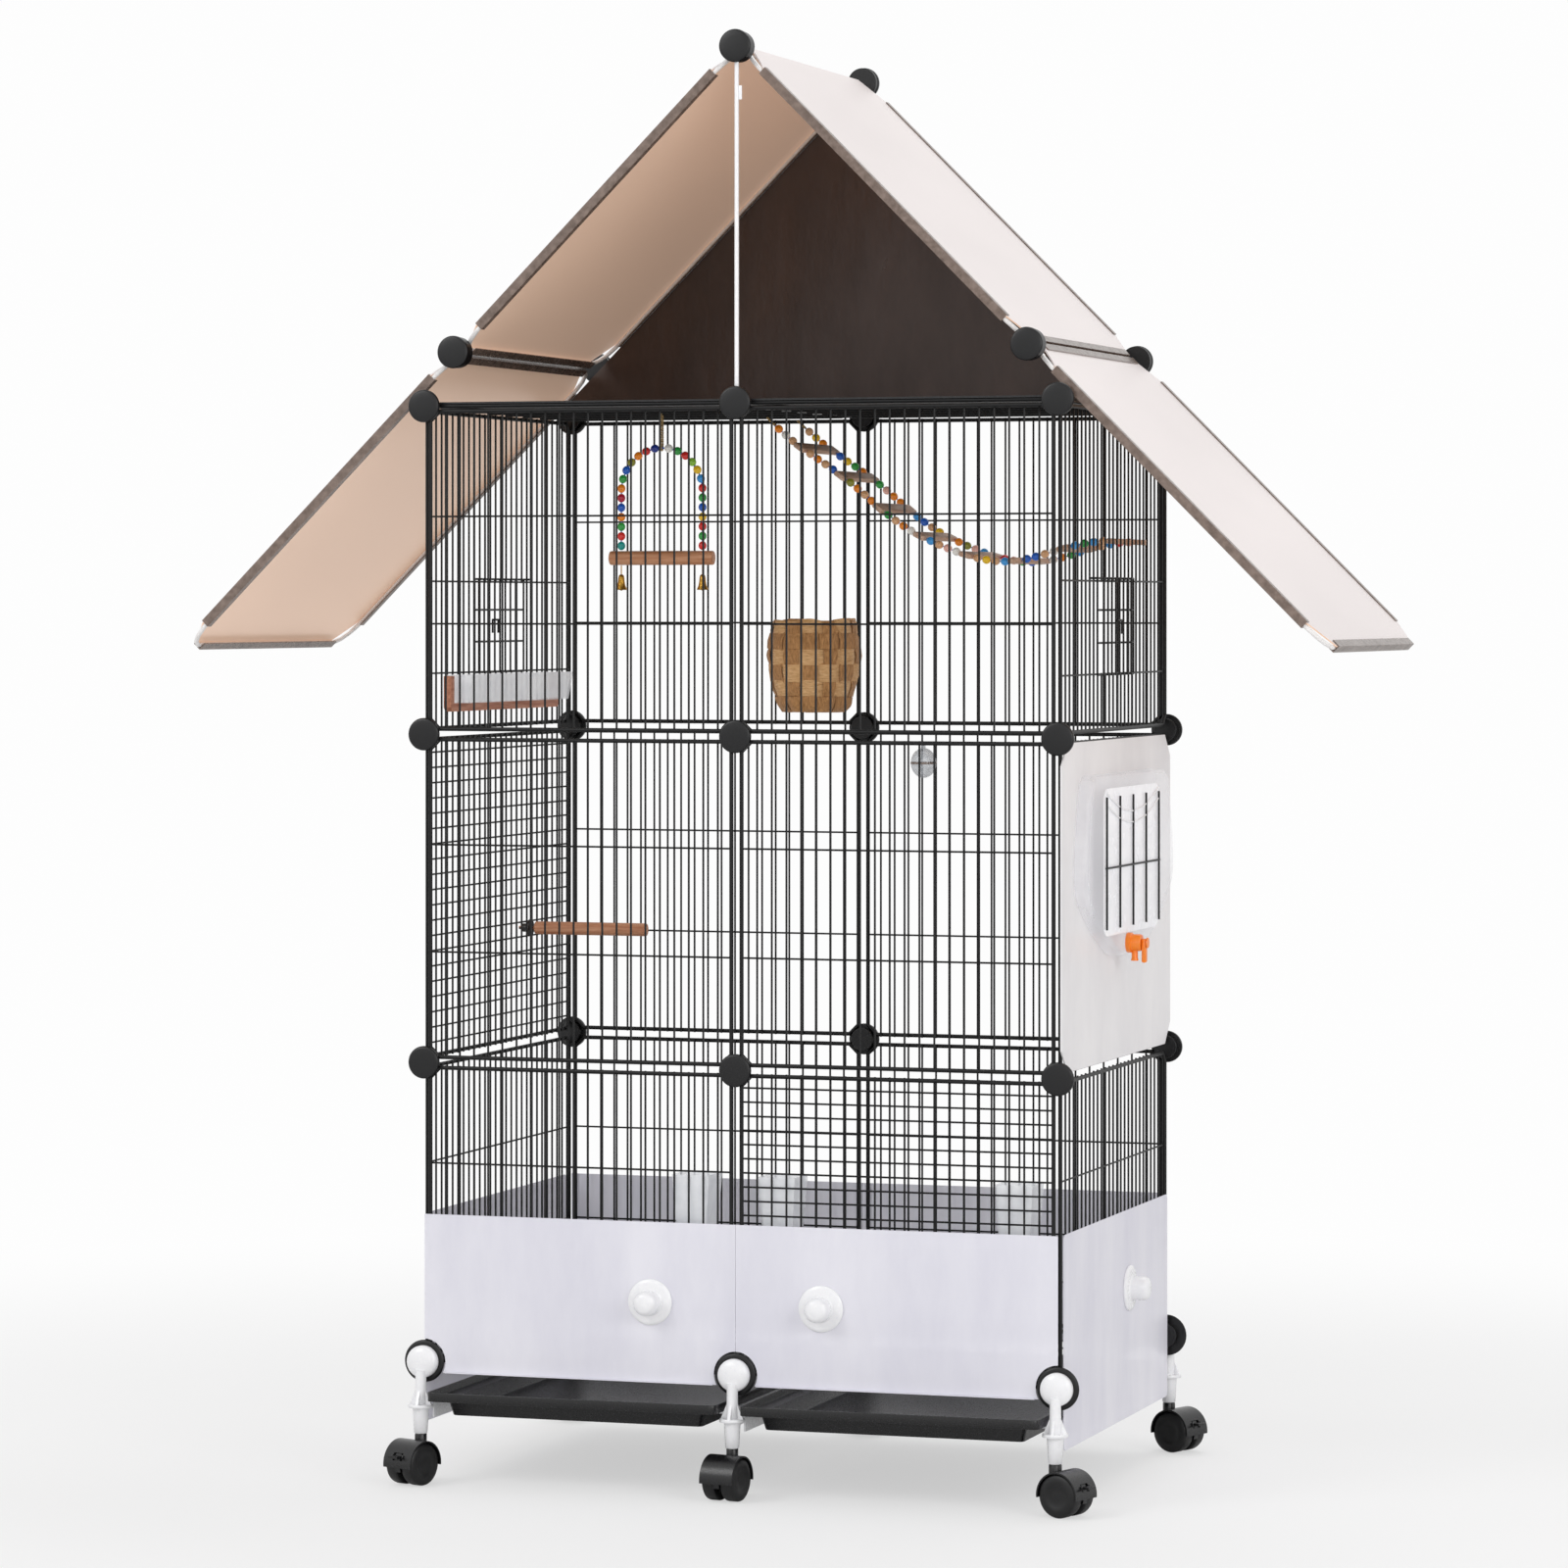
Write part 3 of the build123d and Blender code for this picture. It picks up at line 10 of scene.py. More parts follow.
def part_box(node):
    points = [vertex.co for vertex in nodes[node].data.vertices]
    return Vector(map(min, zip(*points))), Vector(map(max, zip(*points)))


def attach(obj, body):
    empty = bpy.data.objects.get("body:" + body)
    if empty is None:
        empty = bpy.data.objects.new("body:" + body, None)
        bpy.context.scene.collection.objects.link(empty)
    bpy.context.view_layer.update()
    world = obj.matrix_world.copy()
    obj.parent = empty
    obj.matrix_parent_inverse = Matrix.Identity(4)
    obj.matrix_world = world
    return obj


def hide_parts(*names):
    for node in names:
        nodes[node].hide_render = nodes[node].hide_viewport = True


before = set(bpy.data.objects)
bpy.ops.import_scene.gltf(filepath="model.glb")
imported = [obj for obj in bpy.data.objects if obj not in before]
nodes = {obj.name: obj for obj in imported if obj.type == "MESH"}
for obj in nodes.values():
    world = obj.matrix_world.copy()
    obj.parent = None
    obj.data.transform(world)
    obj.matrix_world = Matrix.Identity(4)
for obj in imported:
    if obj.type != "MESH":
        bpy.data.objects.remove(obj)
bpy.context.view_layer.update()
print("frame loaded:", len(nodes), "nodes")

# ---- materials

def makeNode(tree, kind, values=(), **settings):
    node = tree.nodes.new(kind)
    for key, value in settings.items():
        setattr(node, key, value)
    for socket, value in dict(values).items():
        node.inputs[socket].default_value = value
    return node


def makeGroup(name, inputs, outputs):
    # sockets are given as name: kind
    group = bpy.data.node_groups.new(name, "ShaderNodeTree")
    for way, sockets in (("INPUT", inputs), ("OUTPUT", outputs)):
        for socketName, kind in sockets.items():
            group.interface.new_socket(name=socketName, in_out=way, socket_type="NodeSocket" + kind)
    return group, group.nodes.new("NodeGroupInput"), group.nodes.new("NodeGroupOutput")


def buildGrainGroup():
    # noise on Object coordinates that mixes two colours and gives roughness and bump height
    group, inputs, outputs = makeGroup("surfaceGrain", {
        "Light": "Color", "Dark": "Color", "Scale": "Float", "Stretch": "Vector", "Smooth": "Float",
        "Rough": "Float",
    }, {"Colour": "Color", "Roughness": "Float", "Height": "Float"})
    link = group.links.new
    coordinates = makeNode(group, "ShaderNodeTexCoord")
    stretch = makeNode(group, "ShaderNodeVectorMath", operation="MULTIPLY")
    link(coordinates.outputs["Object"], stretch.inputs[0])
    link(inputs.outputs["Stretch"], stretch.inputs[1])
    speckle = makeNode(group, "ShaderNodeTexNoise", {"Detail": 5, "Roughness": 0.6})
    link(stretch.outputs[0], speckle.inputs["Vector"])
    link(inputs.outputs["Scale"], speckle.inputs["Scale"])
    share = makeNode(group, "ShaderNodeMapRange", {"From Min": 0.32, "From Max": 0.68})
    link(speckle.outputs["Fac"], share.inputs["Value"])
    tint = makeNode(group, "ShaderNodeMix", data_type="RGBA")
    link(share.outputs["Result"], tint.inputs["Factor"])
    link(inputs.outputs["Light"], tint.inputs[6])
    link(inputs.outputs["Dark"], tint.inputs[7])
    gloss = makeNode(group, "ShaderNodeMapRange")
    link(share.outputs["Result"], gloss.inputs["Value"])
    link(inputs.outputs["Smooth"], gloss.inputs["To Min"])
    link(inputs.outputs["Rough"], gloss.inputs["To Max"])
    link(tint.outputs[2], outputs.inputs["Colour"])
    link(gloss.outputs["Result"], outputs.inputs["Roughness"])
    link(share.outputs["Result"], outputs.inputs["Height"])
    return group


def buildSheetGroup():
    # a clipped sheet has one colour outside and another inside, and long soft creases; the darker, warmer
    # inside colour is painted shade and painted light through the sheet, both sides glow as painted light,
    # the inside more, and the creases darken the colour as painted shade besides their bump
    group, inputs, outputs = makeGroup(
        "twoSidedSheet", {"Outside": "Color", "Inside": "Color", "Crease Scale": "Float"},
        {"Colour": "Color", "Glow": "Color", "Height": "Float"},
    )
    link = group.links.new
    geometry = makeNode(group, "ShaderNodeNewGeometry")
    split = makeNode(group, "ShaderNodeSeparateXYZ")
    link(geometry.outputs["Normal"], split.inputs[0])
    side = makeNode(group, "ShaderNodeMapRange", {"From Min": -0.1, "From Max": 0.1})
    link(split.outputs["Z"], side.inputs["Value"])
    colours = makeNode(group, "ShaderNodeMix", data_type="RGBA")
    glows = makeNode(group, "ShaderNodeMix", {7: (0.09, 0.085, 0.085, 1)}, data_type="RGBA")
    for mix in (colours, glows):
        link(side.outputs["Result"], mix.inputs["Factor"])
        link(inputs.outputs["Inside"], mix.inputs[6])
    link(inputs.outputs["Outside"], colours.inputs[7])
    link(glows.outputs[2], outputs.inputs["Glow"])
    coordinates = makeNode(group, "ShaderNodeTexCoord")
    stretch = makeNode(group, "ShaderNodeMapping", {"Scale": (1.0, 0.35, 1.0)})
    link(coordinates.outputs["Object"], stretch.inputs["Vector"])
    crease = makeNode(group, "ShaderNodeTexNoise", {"Detail": 2})
    link(stretch.outputs["Vector"], crease.inputs["Vector"])
    link(inputs.outputs["Crease Scale"], crease.inputs["Scale"])
    shade = makeNode(
        group, "ShaderNodeMapRange", {"From Min": 0.3, "From Max": 0.7, "To Min": 0.9, "To Max": 1.0}
    )
    link(crease.outputs["Fac"], shade.inputs["Value"])
    shaded = makeNode(group, "ShaderNodeVectorMath", operation="SCALE")
    link(colours.outputs[2], shaded.inputs[0])
    link(shade.outputs["Result"], shaded.inputs["Scale"])
    link(shaded.outputs[0], outputs.inputs["Colour"])
    link(crease.outputs["Fac"], outputs.inputs["Height"])
    return group


grainGroup = buildGrainGroup()
sheetGroup = buildSheetGroup()
# how dark the deeper tone is where only one colour is given
ownShade = 0.86


def linear(hexColour):
    parts = [int(hexColour[i:i + 2], 16) / 255 for i in (1, 3, 5)]
    return [((p + 0.055) / 1.055) ** 2.4 if p > 0.04045 else p / 12.92 for p in parts] + [1.0]


def groupMaterial(name, group, values, bump, distance, settings):
    # a material whose colour and bump come from a node group
    material = bpy.data.materials.new(name)
    material.use_nodes = True
    tree = material.node_tree
    shader = tree.nodes["Principled BSDF"]
    pattern = makeNode(tree, "ShaderNodeGroup", values, node_tree=group)
    relief = makeNode(tree, "ShaderNodeBump", {"Strength": bump, "Distance": distance})
    tree.links.new(pattern.outputs["Colour"], shader.inputs["Base Color"])
    tree.links.new(pattern.outputs["Height"], relief.inputs["Height"])
    tree.links.new(relief.outputs["Normal"], shader.inputs["Normal"])
    for socket, value in settings.items():
        shader.inputs[socket].default_value = value
    return material, tree.links.new, pattern.outputs, shader.inputs


def grainMaterial(
    name, light, dark=None, scale=300, stretch=(1, 1, 1), rough=(0.3, 0.5), bump=0.2, distance=0.0002,
    metallic=0.0, coat=0.0, alpha=1.0, paintedGlow=0.0, sheen=0.0, shine=0.5,
):
    pale = linear(light)
    deep = linear(dark) if dark else [value * ownShade for value in pale[:3]] + [1.0]
    material, link, pattern, shader = groupMaterial(name, grainGroup, {
        "Light": pale, "Dark": deep, "Scale": scale, "Stretch": stretch, "Smooth": rough[0],
        "Rough": rough[1],
    }, bump, distance, {
        "Metallic": metallic, "Coat Weight": coat, "Alpha": alpha, "Sheen Weight": sheen,
        "Specular IOR Level": shine,
    })
    link(pattern["Roughness"], shader["Roughness"])
    if paintedGlow:
        # painted glow: emission that stands in for light through a thin pale sheet and brightens parts in
        # shade
        link(pattern["Colour"], shader["Emission Color"])
        shader["Emission Strength"].default_value = paintedGlow
    return material


def sheetMaterial(name, outside, inside, creaseScale, bump, distance, rough, paintedGlow):
    material, link, pattern, shader = groupMaterial(
        name, sheetGroup, {"Outside": linear(outside), "Inside": linear(inside), "Crease Scale": creaseScale},
        bump, distance, {"Roughness": rough, "Emission Strength": paintedGlow},
    )
    link(pattern["Glow"], shader["Emission Color"])
    return material


looks = {
    "blackWire": dict(light="#0A0A0B", dark="#030304", scale=900, rough=(0.38, 0.52), bump=0.1, shine=0.3),
    "blackPlastic": dict(
        light="#111113", dark="#070708", scale=1400, rough=(0.3, 0.44), bump=0.12, shine=0.4,
    ),
    "trayBlack": dict(light="#111113", dark="#070708", scale=700, rough=(0.22, 0.36), bump=0.1),
    "boardBlack": dict(light="#1C1C1E", dark="#0F0F10", scale=500, rough=(0.45, 0.65), bump=0.3),
    "whiteWire": dict(light="#F6F4F3", dark="#E4E0DE", scale=600, rough=(0.25, 0.4), bump=0.1),
    "whitePlastic": dict(
        light="#FAFAFB", dark="#ECECEF", scale=400, rough=(0.2, 0.34), bump=0.08, coat=0.3,
    ),
    "clipStrip": dict(light="#8E7C72", dark="#6A5A51", scale=120, rough=(0.12, 0.25), bump=0.1, alpha=0.86),
    # the gable sheet is coloured dark brown for the shade under the roof ridge: painted shade
    "gableSheetPaintedShade": dict(
        light="#4A352B", dark="#33231C", scale=9, stretch=(1, 1, 0.4), rough=(0.25, 0.4), bump=0.3,
        distance=0.003,
    ),
    # the glow in the sheet and clear looks below is painted light: it brightens their shaded sides and stands
    # in for light coming through them
    "spillGuard": dict(
        light="#EDECF3", dark="#E0DFE9", scale=14, stretch=(1, 1, 0.3), rough=(0.3, 0.42), bump=0.15,
        distance=0.001, alpha=0.8, paintedGlow=0.07,
    ),
    "sideSheet": dict(
        light="#EFEDEE", dark="#E4E2E4", scale=12, stretch=(1, 1, 0.5), rough=(0.35, 0.5), bump=0.2,
        distance=0.001, alpha=0.93, paintedGlow=0.04,
    ),
    "clearPlastic": dict(
        light="#F3F4F6", dark="#E2E4E8", scale=60, rough=(0.08, 0.2), bump=0.1, alpha=0.45, paintedGlow=0.12,
    ),
    "tankPlastic": dict(
        light="#F4F4F7", dark="#E9E9ED", scale=40, rough=(0.1, 0.2), bump=0.1, alpha=0.3, paintedGlow=0.12,
    ),
    "tankPane": dict(
        light="#FCFCFD", dark="#F1F1F4", scale=60, rough=(0.2, 0.3), bump=0.05, alpha=0.85, paintedGlow=0.12,
    ),
    "smokyClear": dict(
        light="#D5D8DC", dark="#8F949A", scale=190, rough=(0.08, 0.2), bump=0.15, alpha=0.55, paintedGlow=0.05,
    ),
    "orangePlastic": dict(
        light="#FF8F22", dark="#F57A0C", scale=500, rough=(0.25, 0.4), bump=0.1, coat=0.2,
    ),
    "jute": dict(
        light="#D3B57A", dark="#9C7C45", scale=900, stretch=(1, 1, 3), rough=(0.75, 0.95), bump=0.8,
        distance=0.0004, sheen=0.3,
    ),
    "brass": dict(light="#C79A45", dark="#8F6A28", scale=700, rough=(0.22, 0.42), bump=0.15, metallic=1.0),
    "seatWood": dict(
        light="#D6A07A", dark="#B4764E", scale=260, stretch=(0.06, 1, 1), rough=(0.45, 0.65), bump=0.35,
    ),
    "slatWood": dict(
        light="#DDBDA6", dark="#BE957A", scale=260, stretch=(1, 0.06, 1), rough=(0.5, 0.7), bump=0.35,
    ),
    "perchWood": dict(
        light="#D29B78", dark="#B0714E", scale=280, stretch=(0.05, 1, 1), rough=(0.45, 0.65), bump=0.35,
    ),
    "cradleWood": dict(
        light="#C98B6C", dark="#A4644A", scale=280, stretch=(1, 0.05, 1), rough=(0.45, 0.65), bump=0.35,
    ),
    "paleLeaf": dict(
        light="#F2C68E", dark="#CC975E", scale=130, stretch=(1, 1, 5), rough=(0.6, 0.85), bump=0.8,
        distance=0.0008, sheen=0.15,
    ),
    "darkLeaf": dict(
        light="#D09A60", dark="#9C6C3C", scale=130, stretch=(4, 4, 1), rough=(0.6, 0.85), bump=0.8,
        distance=0.0008, sheen=0.15,
    ),
    "wheelBlack": dict(light="#151516", dark="#0A0A0B", scale=900, rough=(0.34, 0.5), bump=0.15, shine=0.4),
    "hoodBlack": dict(light="#121214", dark="#08080A", scale=800, rough=(0.24, 0.38), bump=0.08),
}
beadPaint = {
    "blue": "#1F5FC4", "sky": "#3E9BE0", "green": "#2FA045", "lime": "#8CC63E", "yellow": "#F2C522",
    "orange": "#F28A1E", "red": "#D92B26", "crimson": "#B51F3A", "teal": "#17968F", "white": "#F0EDE6",
    "tan": "#D7A679", "olive": "#8E8F32", "navy": "#23378C", "pink": "#EFB7A8",
}
finishes = {name: grainMaterial(name, **look) for name, look in looks.items()}
# roof sheets: the inside colour and its stronger glow are painted shade and painted light through the sheet
finishes["roofSheet"] = sheetMaterial(
    "roofSheet", "#F0E6E4", "#E3C2AA", creaseScale=5.0, bump=0.35, distance=0.004, rough=0.32, paintedGlow=0.32
)
# the beads glow a little as painted light, to brighten them in the shade of the roof and shelf
for beadName, shade in beadPaint.items():
    finishes[beadName] = grainMaterial(
        beadName + "Bead", shade, scale=500, rough=(0.22, 0.4), bump=0.12, coat=0.25, paintedGlow=0.14
    )
print("materials made:", len(finishes))

# ---- helpers

def placeAt(origin, xAxis, zAxis):
    x, z = Vector(xAxis).normalized(), Vector(zAxis).normalized()
    turn = Matrix((x, z.cross(x), z)).transposed().to_4x4()
    return Matrix.Translation(Vector(origin)) @ turn


def row(count, pitch):
    return [(index - (count - 1) / 2) * pitch for index in range(count)]


def rod(bm, start, end, radius, sides=8):
    # round wire or dowel between two points
    start, end = Vector(start), Vector(end)
    along = end - start
    turn = along.to_track_quat("Z", "Y").to_matrix().to_4x4()
    place = Matrix.Translation((start + end) / 2) @ turn
    made = bmesh.ops.create_cone(
        bm, cap_ends=True, segments=sides, radius1=radius, radius2=radius, depth=along.length, matrix=place
    )
    return made["verts"]


def faceRod(bm, face, start, end, radius, sides=6):
    return rod(bm, face @ Vector(start), face @ Vector(end), radius, sides)


def tintFaces(verts, materialIndex):
    for face in {face for vert in verts for face in vert.link_faces}:
        face.material_index = materialIndex


def bentWire(bm, points, radius, closed=True, sides=8):
    # wire through the points, with a ball in each bend
    points = [Vector(point) for point in points]
    ends = points[1:] + points[:1] if closed else points[1:]
    for start, end in zip(points, ends):
        rod(bm, start, end, radius, sides)
    for point in points if closed else points[1:-1]:
        bmesh.ops.create_icosphere(bm, subdivisions=2, radius=radius, matrix=Matrix.Translation(point))


def lathe(bm, profile, place, steps=32):
    # profile of (radius, height) turned about the Z of place
    verts = [bm.verts.new(place @ Vector((radius, 0, height))) for radius, height in profile]
    edges = [bm.edges.new(pair) for pair in zip(verts, verts[1:])]
    axis = place.to_3x3() @ Vector((0, 0, 1))
    bmesh.ops.spin(
        bm, geom=verts + edges, cent=place.translation, axis=axis, angle=2 * pi, steps=steps, use_merge=True
    )


def block(bm, place, size, bevel=0.0):
    made = bmesh.ops.create_cube(bm, size=1.0, matrix=place @ Matrix.Diagonal((*size, 1)))
    if bevel:
        edges = {edge for vert in made["verts"] for edge in vert.link_edges}
        bmesh.ops.bevel(
            bm, geom=list(edges), offset=bevel, segments=2, profile=0.5, affect="EDGES", material=-1
        )


def pushFace(bm, face, way):
    # extrudes a face and gives back the moved one
    grown = bmesh.ops.extrude_face_region(bm, geom=[face])["geom"]
    bmesh.ops.translate(bm, verts=[item for item in grown if isinstance(item, bmesh.types.BMVert)], vec=way)
    return next(item for item in grown if isinstance(item, bmesh.types.BMFace))


def plate(bm, place, outline, thickness):
    # sheet of the given outline, thick along the Z of place
    face = bm.faces.new([bm.verts.new(place @ Vector((*point, 0))) for point in outline])
    pushFace(bm, face, place.to_3x3() @ Vector((0, 0, thickness)))


def roundedBox(halfWidth, halfHeight, radius, steps=5):
    outline = []
    for quarter, (x, y) in enumerate(((1, 1), (-1, 1), (-1, -1), (1, -1))):
        for k in range(steps + 1):
            a = (quarter + k / steps) * pi / 2
            outline.append((
                x * (halfWidth - radius) + radius * cos(a), y * (halfHeight - radius) + radius * sin(a)
            ))
    return outline


def finishPiece(bm, name, body, materials, replaced=(), angle=40, weld=True):
    if weld:
        bmesh.ops.remove_doubles(bm, verts=bm.verts, dist=0.000002)
    bmesh.ops.recalc_face_normals(bm, faces=bm.faces)
    mesh = bpy.data.meshes.new(name)
    bm.to_mesh(mesh)
    bm.free()
    for material in materials:
        mesh.materials.append(finishes[material])
    mesh.polygons.foreach_set("use_smooth", [True] * len(mesh.polygons))
    mesh.set_sharp_from_angle(angle=radians(angle))
    piece = bpy.data.objects.new(name, mesh)
    bpy.context.scene.collection.objects.link(piece)
    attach(piece, body)
    if replaced:
        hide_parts(*replaced)
    return piece


def finishWires(bm, name, replaced, body="cage"):
    finishPiece(bm, name, body, ["blackWire"], [replaced], weld=False)


def paint(nodeName, finish):
    mesh = nodes[nodeName].data
    mesh.materials.clear()
    mesh.materials.append(finishes[finish])


def looseParts(nodeName):
    # centre, axes from long to short and half sizes of each solid of a CAD node
    bm = bmesh.new()
    bm.from_mesh(nodes[nodeName].data)
    bmesh.ops.remove_doubles(bm, verts=bm.verts, dist=0.00001)
    seen, parts = set(), []
    for first in bm.verts:
        if first in seen:
            continue
        seen.add(first)
        island, waiting = [], [first]
        while waiting:
            vert = waiting.pop()
            island.append(vert.co[:])
            for edge in vert.link_edges:
                other = edge.other_vert(vert)
                if other not in seen:
                    seen.add(other)
                    waiting.append(other)
        points = np.array(island)
        centre = points.mean(0)
        axes = np.linalg.svd(points - centre)[2]
        halves = np.abs((points - centre) @ axes.T).max(0)
        parts.append((Vector(centre), [Vector(axis) for axis in axes], halves))
    bm.free()
    return parts

# ---- wire panels

cage = {
    "bay": 0.357, "frontY": 0.2285, "panel": 0.350, "deepPanel": 0.450, "basePanel": 0.318,
    "floor": 0.131, "low": 0.456, "mid": 0.813, "shelf": 1.170, "frameRadius": 0.00225,
    "barRadius": 0.00115, "railShare": 0.9, "barDepth": 0.00345, "railDepth": 0.0011,
    "bars": 20, "deepBars": 26, "rails": 2, "shelfBars": 7, "cornerCut": 0.01195,
}
side, baseSide, deepSide = cage["panel"], cage["basePanel"], cage["deepPanel"]
bays = (-cage["bay"] / 2, cage["bay"] / 2)
columns = (-cage["bay"], 0, cage["bay"])
baseMiddle = (cage["floor"] + cage["low"]) / 2
lowMiddle = cage["low"] + cage["bay"] / 2
midMiddle = cage["mid"] + cage["bay"] / 2


def pitchOf(width, count):
    return (width - 2 * cage["frameRadius"]) / (count + 1)


barPitch, deepPitch = pitchOf(side, cage["bars"]), pitchOf(deepSide, cage["deepBars"])
shelfPitch = pitchOf(deepSide, cage["shelfBars"])


def frontFace(x, z):
    return placeAt((x, -cage["frontY"], z), (1, 0, 0), (0, -1, 0))


def backFace(x, z):
    return placeAt((x, cage["frontY"], z), (-1, 0, 0), (0, 1, 0))


def sideFace(side, z):
    return placeAt((side * cage["bay"], 0, z), (0, side, 0), (side, 0, 0))


def frameWire(bm, face, width, height):
    # closed wire with cut corners
    radius = cage["frameRadius"]
    right, top = width / 2 - radius, height / 2 - radius
    c = cage["cornerCut"] - (2 - sqrt(2)) * radius
    corners = [
        (right - c, top), (-right + c, top), (-right, top - c), (-right, -top + c),
        (-right + c, -top), (right - c, -top), (right, -top + c), (right, top - c),
    ]
    bentWire(bm, [face @ Vector((x, y, 0)) for x, y in corners], radius, sides=10)


def wireBars(bm, face, spots, foot, head):
    z = -cage["barDepth"]
    for spot in spots:
        faceRod(bm, face, (spot, foot, z), (spot, head, z), cage["barRadius"])


def wireRails(bm, face, width, heights):
    reach, z = width / 2 - 2 * cage["frameRadius"], -cage["railDepth"]
    for y in heights:
        faceRod(bm, face, (-reach, y, z), (reach, y, z), cage["barRadius"] * cage["railShare"])


narrow, deep = (cage["bars"], barPitch), (cage["deepBars"], deepPitch)
panelSets = {
    "frontWires": ("front_panels", [
        (frontFace(x, z), side, side, narrow, cage["rails"]) for x in bays for z in (lowMiddle, midMiddle)
    ] + [
        (frontFace(bays[0], baseMiddle), side, baseSide, narrow, cage["rails"]),
        (frontFace(bays[1], baseMiddle), side, baseSide, narrow, cage["bars"]),
    ]),
    "backWires": ("back_panels", [
        (backFace(x, z), side, height, narrow, cage["rails"])
        for x in bays for z, height in ((baseMiddle, baseSide), (lowMiddle, side), (midMiddle, side))
    ]),
    "sideWires": ("side_panels", [
        (sideFace(hand, z), deepSide, height, deep, cage["rails"])
        for hand, z, height in ((-1, baseMiddle, baseSide), (1, baseMiddle, baseSide), (1, lowMiddle, side))
    ]),
    "leftMesh": ("left_mesh_panel", [(sideFace(-1, lowMiddle), deepSide, side, deep, cage["bars"])]),
}
for name, (replaced, panels) in panelSets.items():
    bm = bmesh.new()
    for face, width, height, (count, pitch), rails in panels:
        frameWire(bm, face, width, height)
        wireBars(bm, face, row(count, pitch), -height / 2, height / 2)
        wireRails(bm, face, width, row(rails, height / (rails + 1)))
    finishWires(bm, name, replaced)

bm = bmesh.new()
for x in bays:
    face = placeAt((x, 0, cage["floor"]), (1, 0, 0), (0, 0, 1))
    frameWire(bm, face, side, deepSide)
    wireBars(bm, face, row(cage["bars"], barPitch), -deepSide / 2, deepSide / 2)
finishWires(bm, "floorWires", "floor_panels")

bm = bmesh.new()
reach = side / 2 - cage["frameRadius"]
for x in bays:
    face = placeAt((x, 0, cage["shelf"]), (0, 1, 0), (0, 0, 1))
    frameWire(bm, face, deepSide, side)
    wireBars(bm, face, row(cage["shelfBars"], shelfPitch), -reach, reach)
finishWires(bm, "shelfWires", "shelf_frames")
print("panels made")

# ---- lift doors and their panels

door = {
    "bars": 8, "sill": 0.0625, "head": 0.163, "past": 0.0012, "wire": 0.0012, "width": 0.1562,
    "height": 0.1065, "middle": 0.93045, "offset": 0.0003, "barDepth": 0.0036, "railDepth": 0.0012,
    "catchDepth": 0.006, "catchHalf": 0.0088, "catchTop": 0.0068, "catchFoot": -0.008,
    "catchRise": -0.00025, "hookDepth": 0.0064, "hookTip": 0.0728,
}
spots = row(cage["deepBars"], deepPitch)
split = [spot for spot in spots if abs(spot) < door["bars"] / 2 * deepPitch]
whole = [spot for spot in spots if spot not in split]
foot, head = -side / 2, side / 2
wire, halfWidth, halfHeight = door["wire"], door["width"] / 2, door["height"] / 2
right, top, reach = halfWidth - wire, halfHeight - wire, halfWidth - 2 * wire
barZ, railZ, catchZ = (door["offset"] + door[key] for key in ("barDepth", "railDepth", "catchDepth"))
for hand, sideName in ((-1, "left"), (1, "right")):
    face = sideFace(hand, midMiddle)
    bm = bmesh.new()
    frameWire(bm, face, deepSide, side)
    wireBars(bm, face, whole, foot, head)
    wireBars(bm, face, split, foot, foot + door["sill"] + door["past"])
    wireBars(bm, face, split, foot + door["head"] - door["past"], head)
    wireRails(bm, face, deepSide, (foot + door["sill"], foot + door["head"]))
    finishWires(bm, sideName + "DoorPanelWires", sideName + "_door_panel")

    face = sideFace(hand, door["middle"])
    bm = bmesh.new()
    loop = ((-right, -top), (right, -top), (right, top), (-right, top))
    bentWire(bm, [face @ Vector((x, y, door["offset"] + wire)) for x, y in loop], wire)
    for x in row(door["bars"], deepPitch):
        faceRod(bm, face, (x, -halfHeight, barZ), (x, halfHeight, barZ), cage["barRadius"])
    for y in row(2, door["height"] / 3):
        faceRod(bm, face, (-reach, y, railZ), (reach, y, railZ), cage["barRadius"])
    catch = [
        (-door["catchHalf"], door["catchFoot"]), (-door["catchHalf"], door["catchTop"]),
        (door["catchHalf"], door["catchTop"]), (door["catchHalf"], door["catchFoot"]),
    ]
    bentWire(bm, [face @ Vector((x, y + door["catchRise"], catchZ)) for x, y in catch], wire, closed=False)
    for way in (-1, 1):
        hook = [
            (way * right, door["offset"] + wire), (way * right, door["offset"] - door["hookDepth"]),
            (way * door["hookTip"], door["offset"] - door["hookDepth"]),
        ]
        bentWire(bm, [face @ Vector((x, top, z)) for x, z in hook], wire, closed=False)
    finishWires(bm, sideName + "DoorWires", sideName + "_door", sideName + "_door")
print("doors made")

# ---- connectors

cap = {
    "radius": 0.01775, "thickness": 0.006, "hub": 0.0131, "reach": 0.00555, "back": 0.00255,
    "baseRadius": 0.023, "baseThickness": 0.003, "roofHub": 0.017, "roofReach": 0.01158,
}


def roundCap(bm, face, radius, thickness, hub, reach):
    back, top = cap["back"], cap["back"] + thickness
    profile = [
        (0, -reach), (hub * 0.96, -reach), (hub, -reach + 0.0006), (hub, back), (radius - 0.0006, back),
        (radius, back + 0.0006), (radius, top - 0.0026), (radius - 0.0004, top - 0.0017),
        (radius - 0.0012, top - 0.0009), (radius - 0.0028, top - 0.0006), (radius * 0.5, top - 0.0002),
        (0, top),
    ]
    lathe(bm, profile, face, 40)


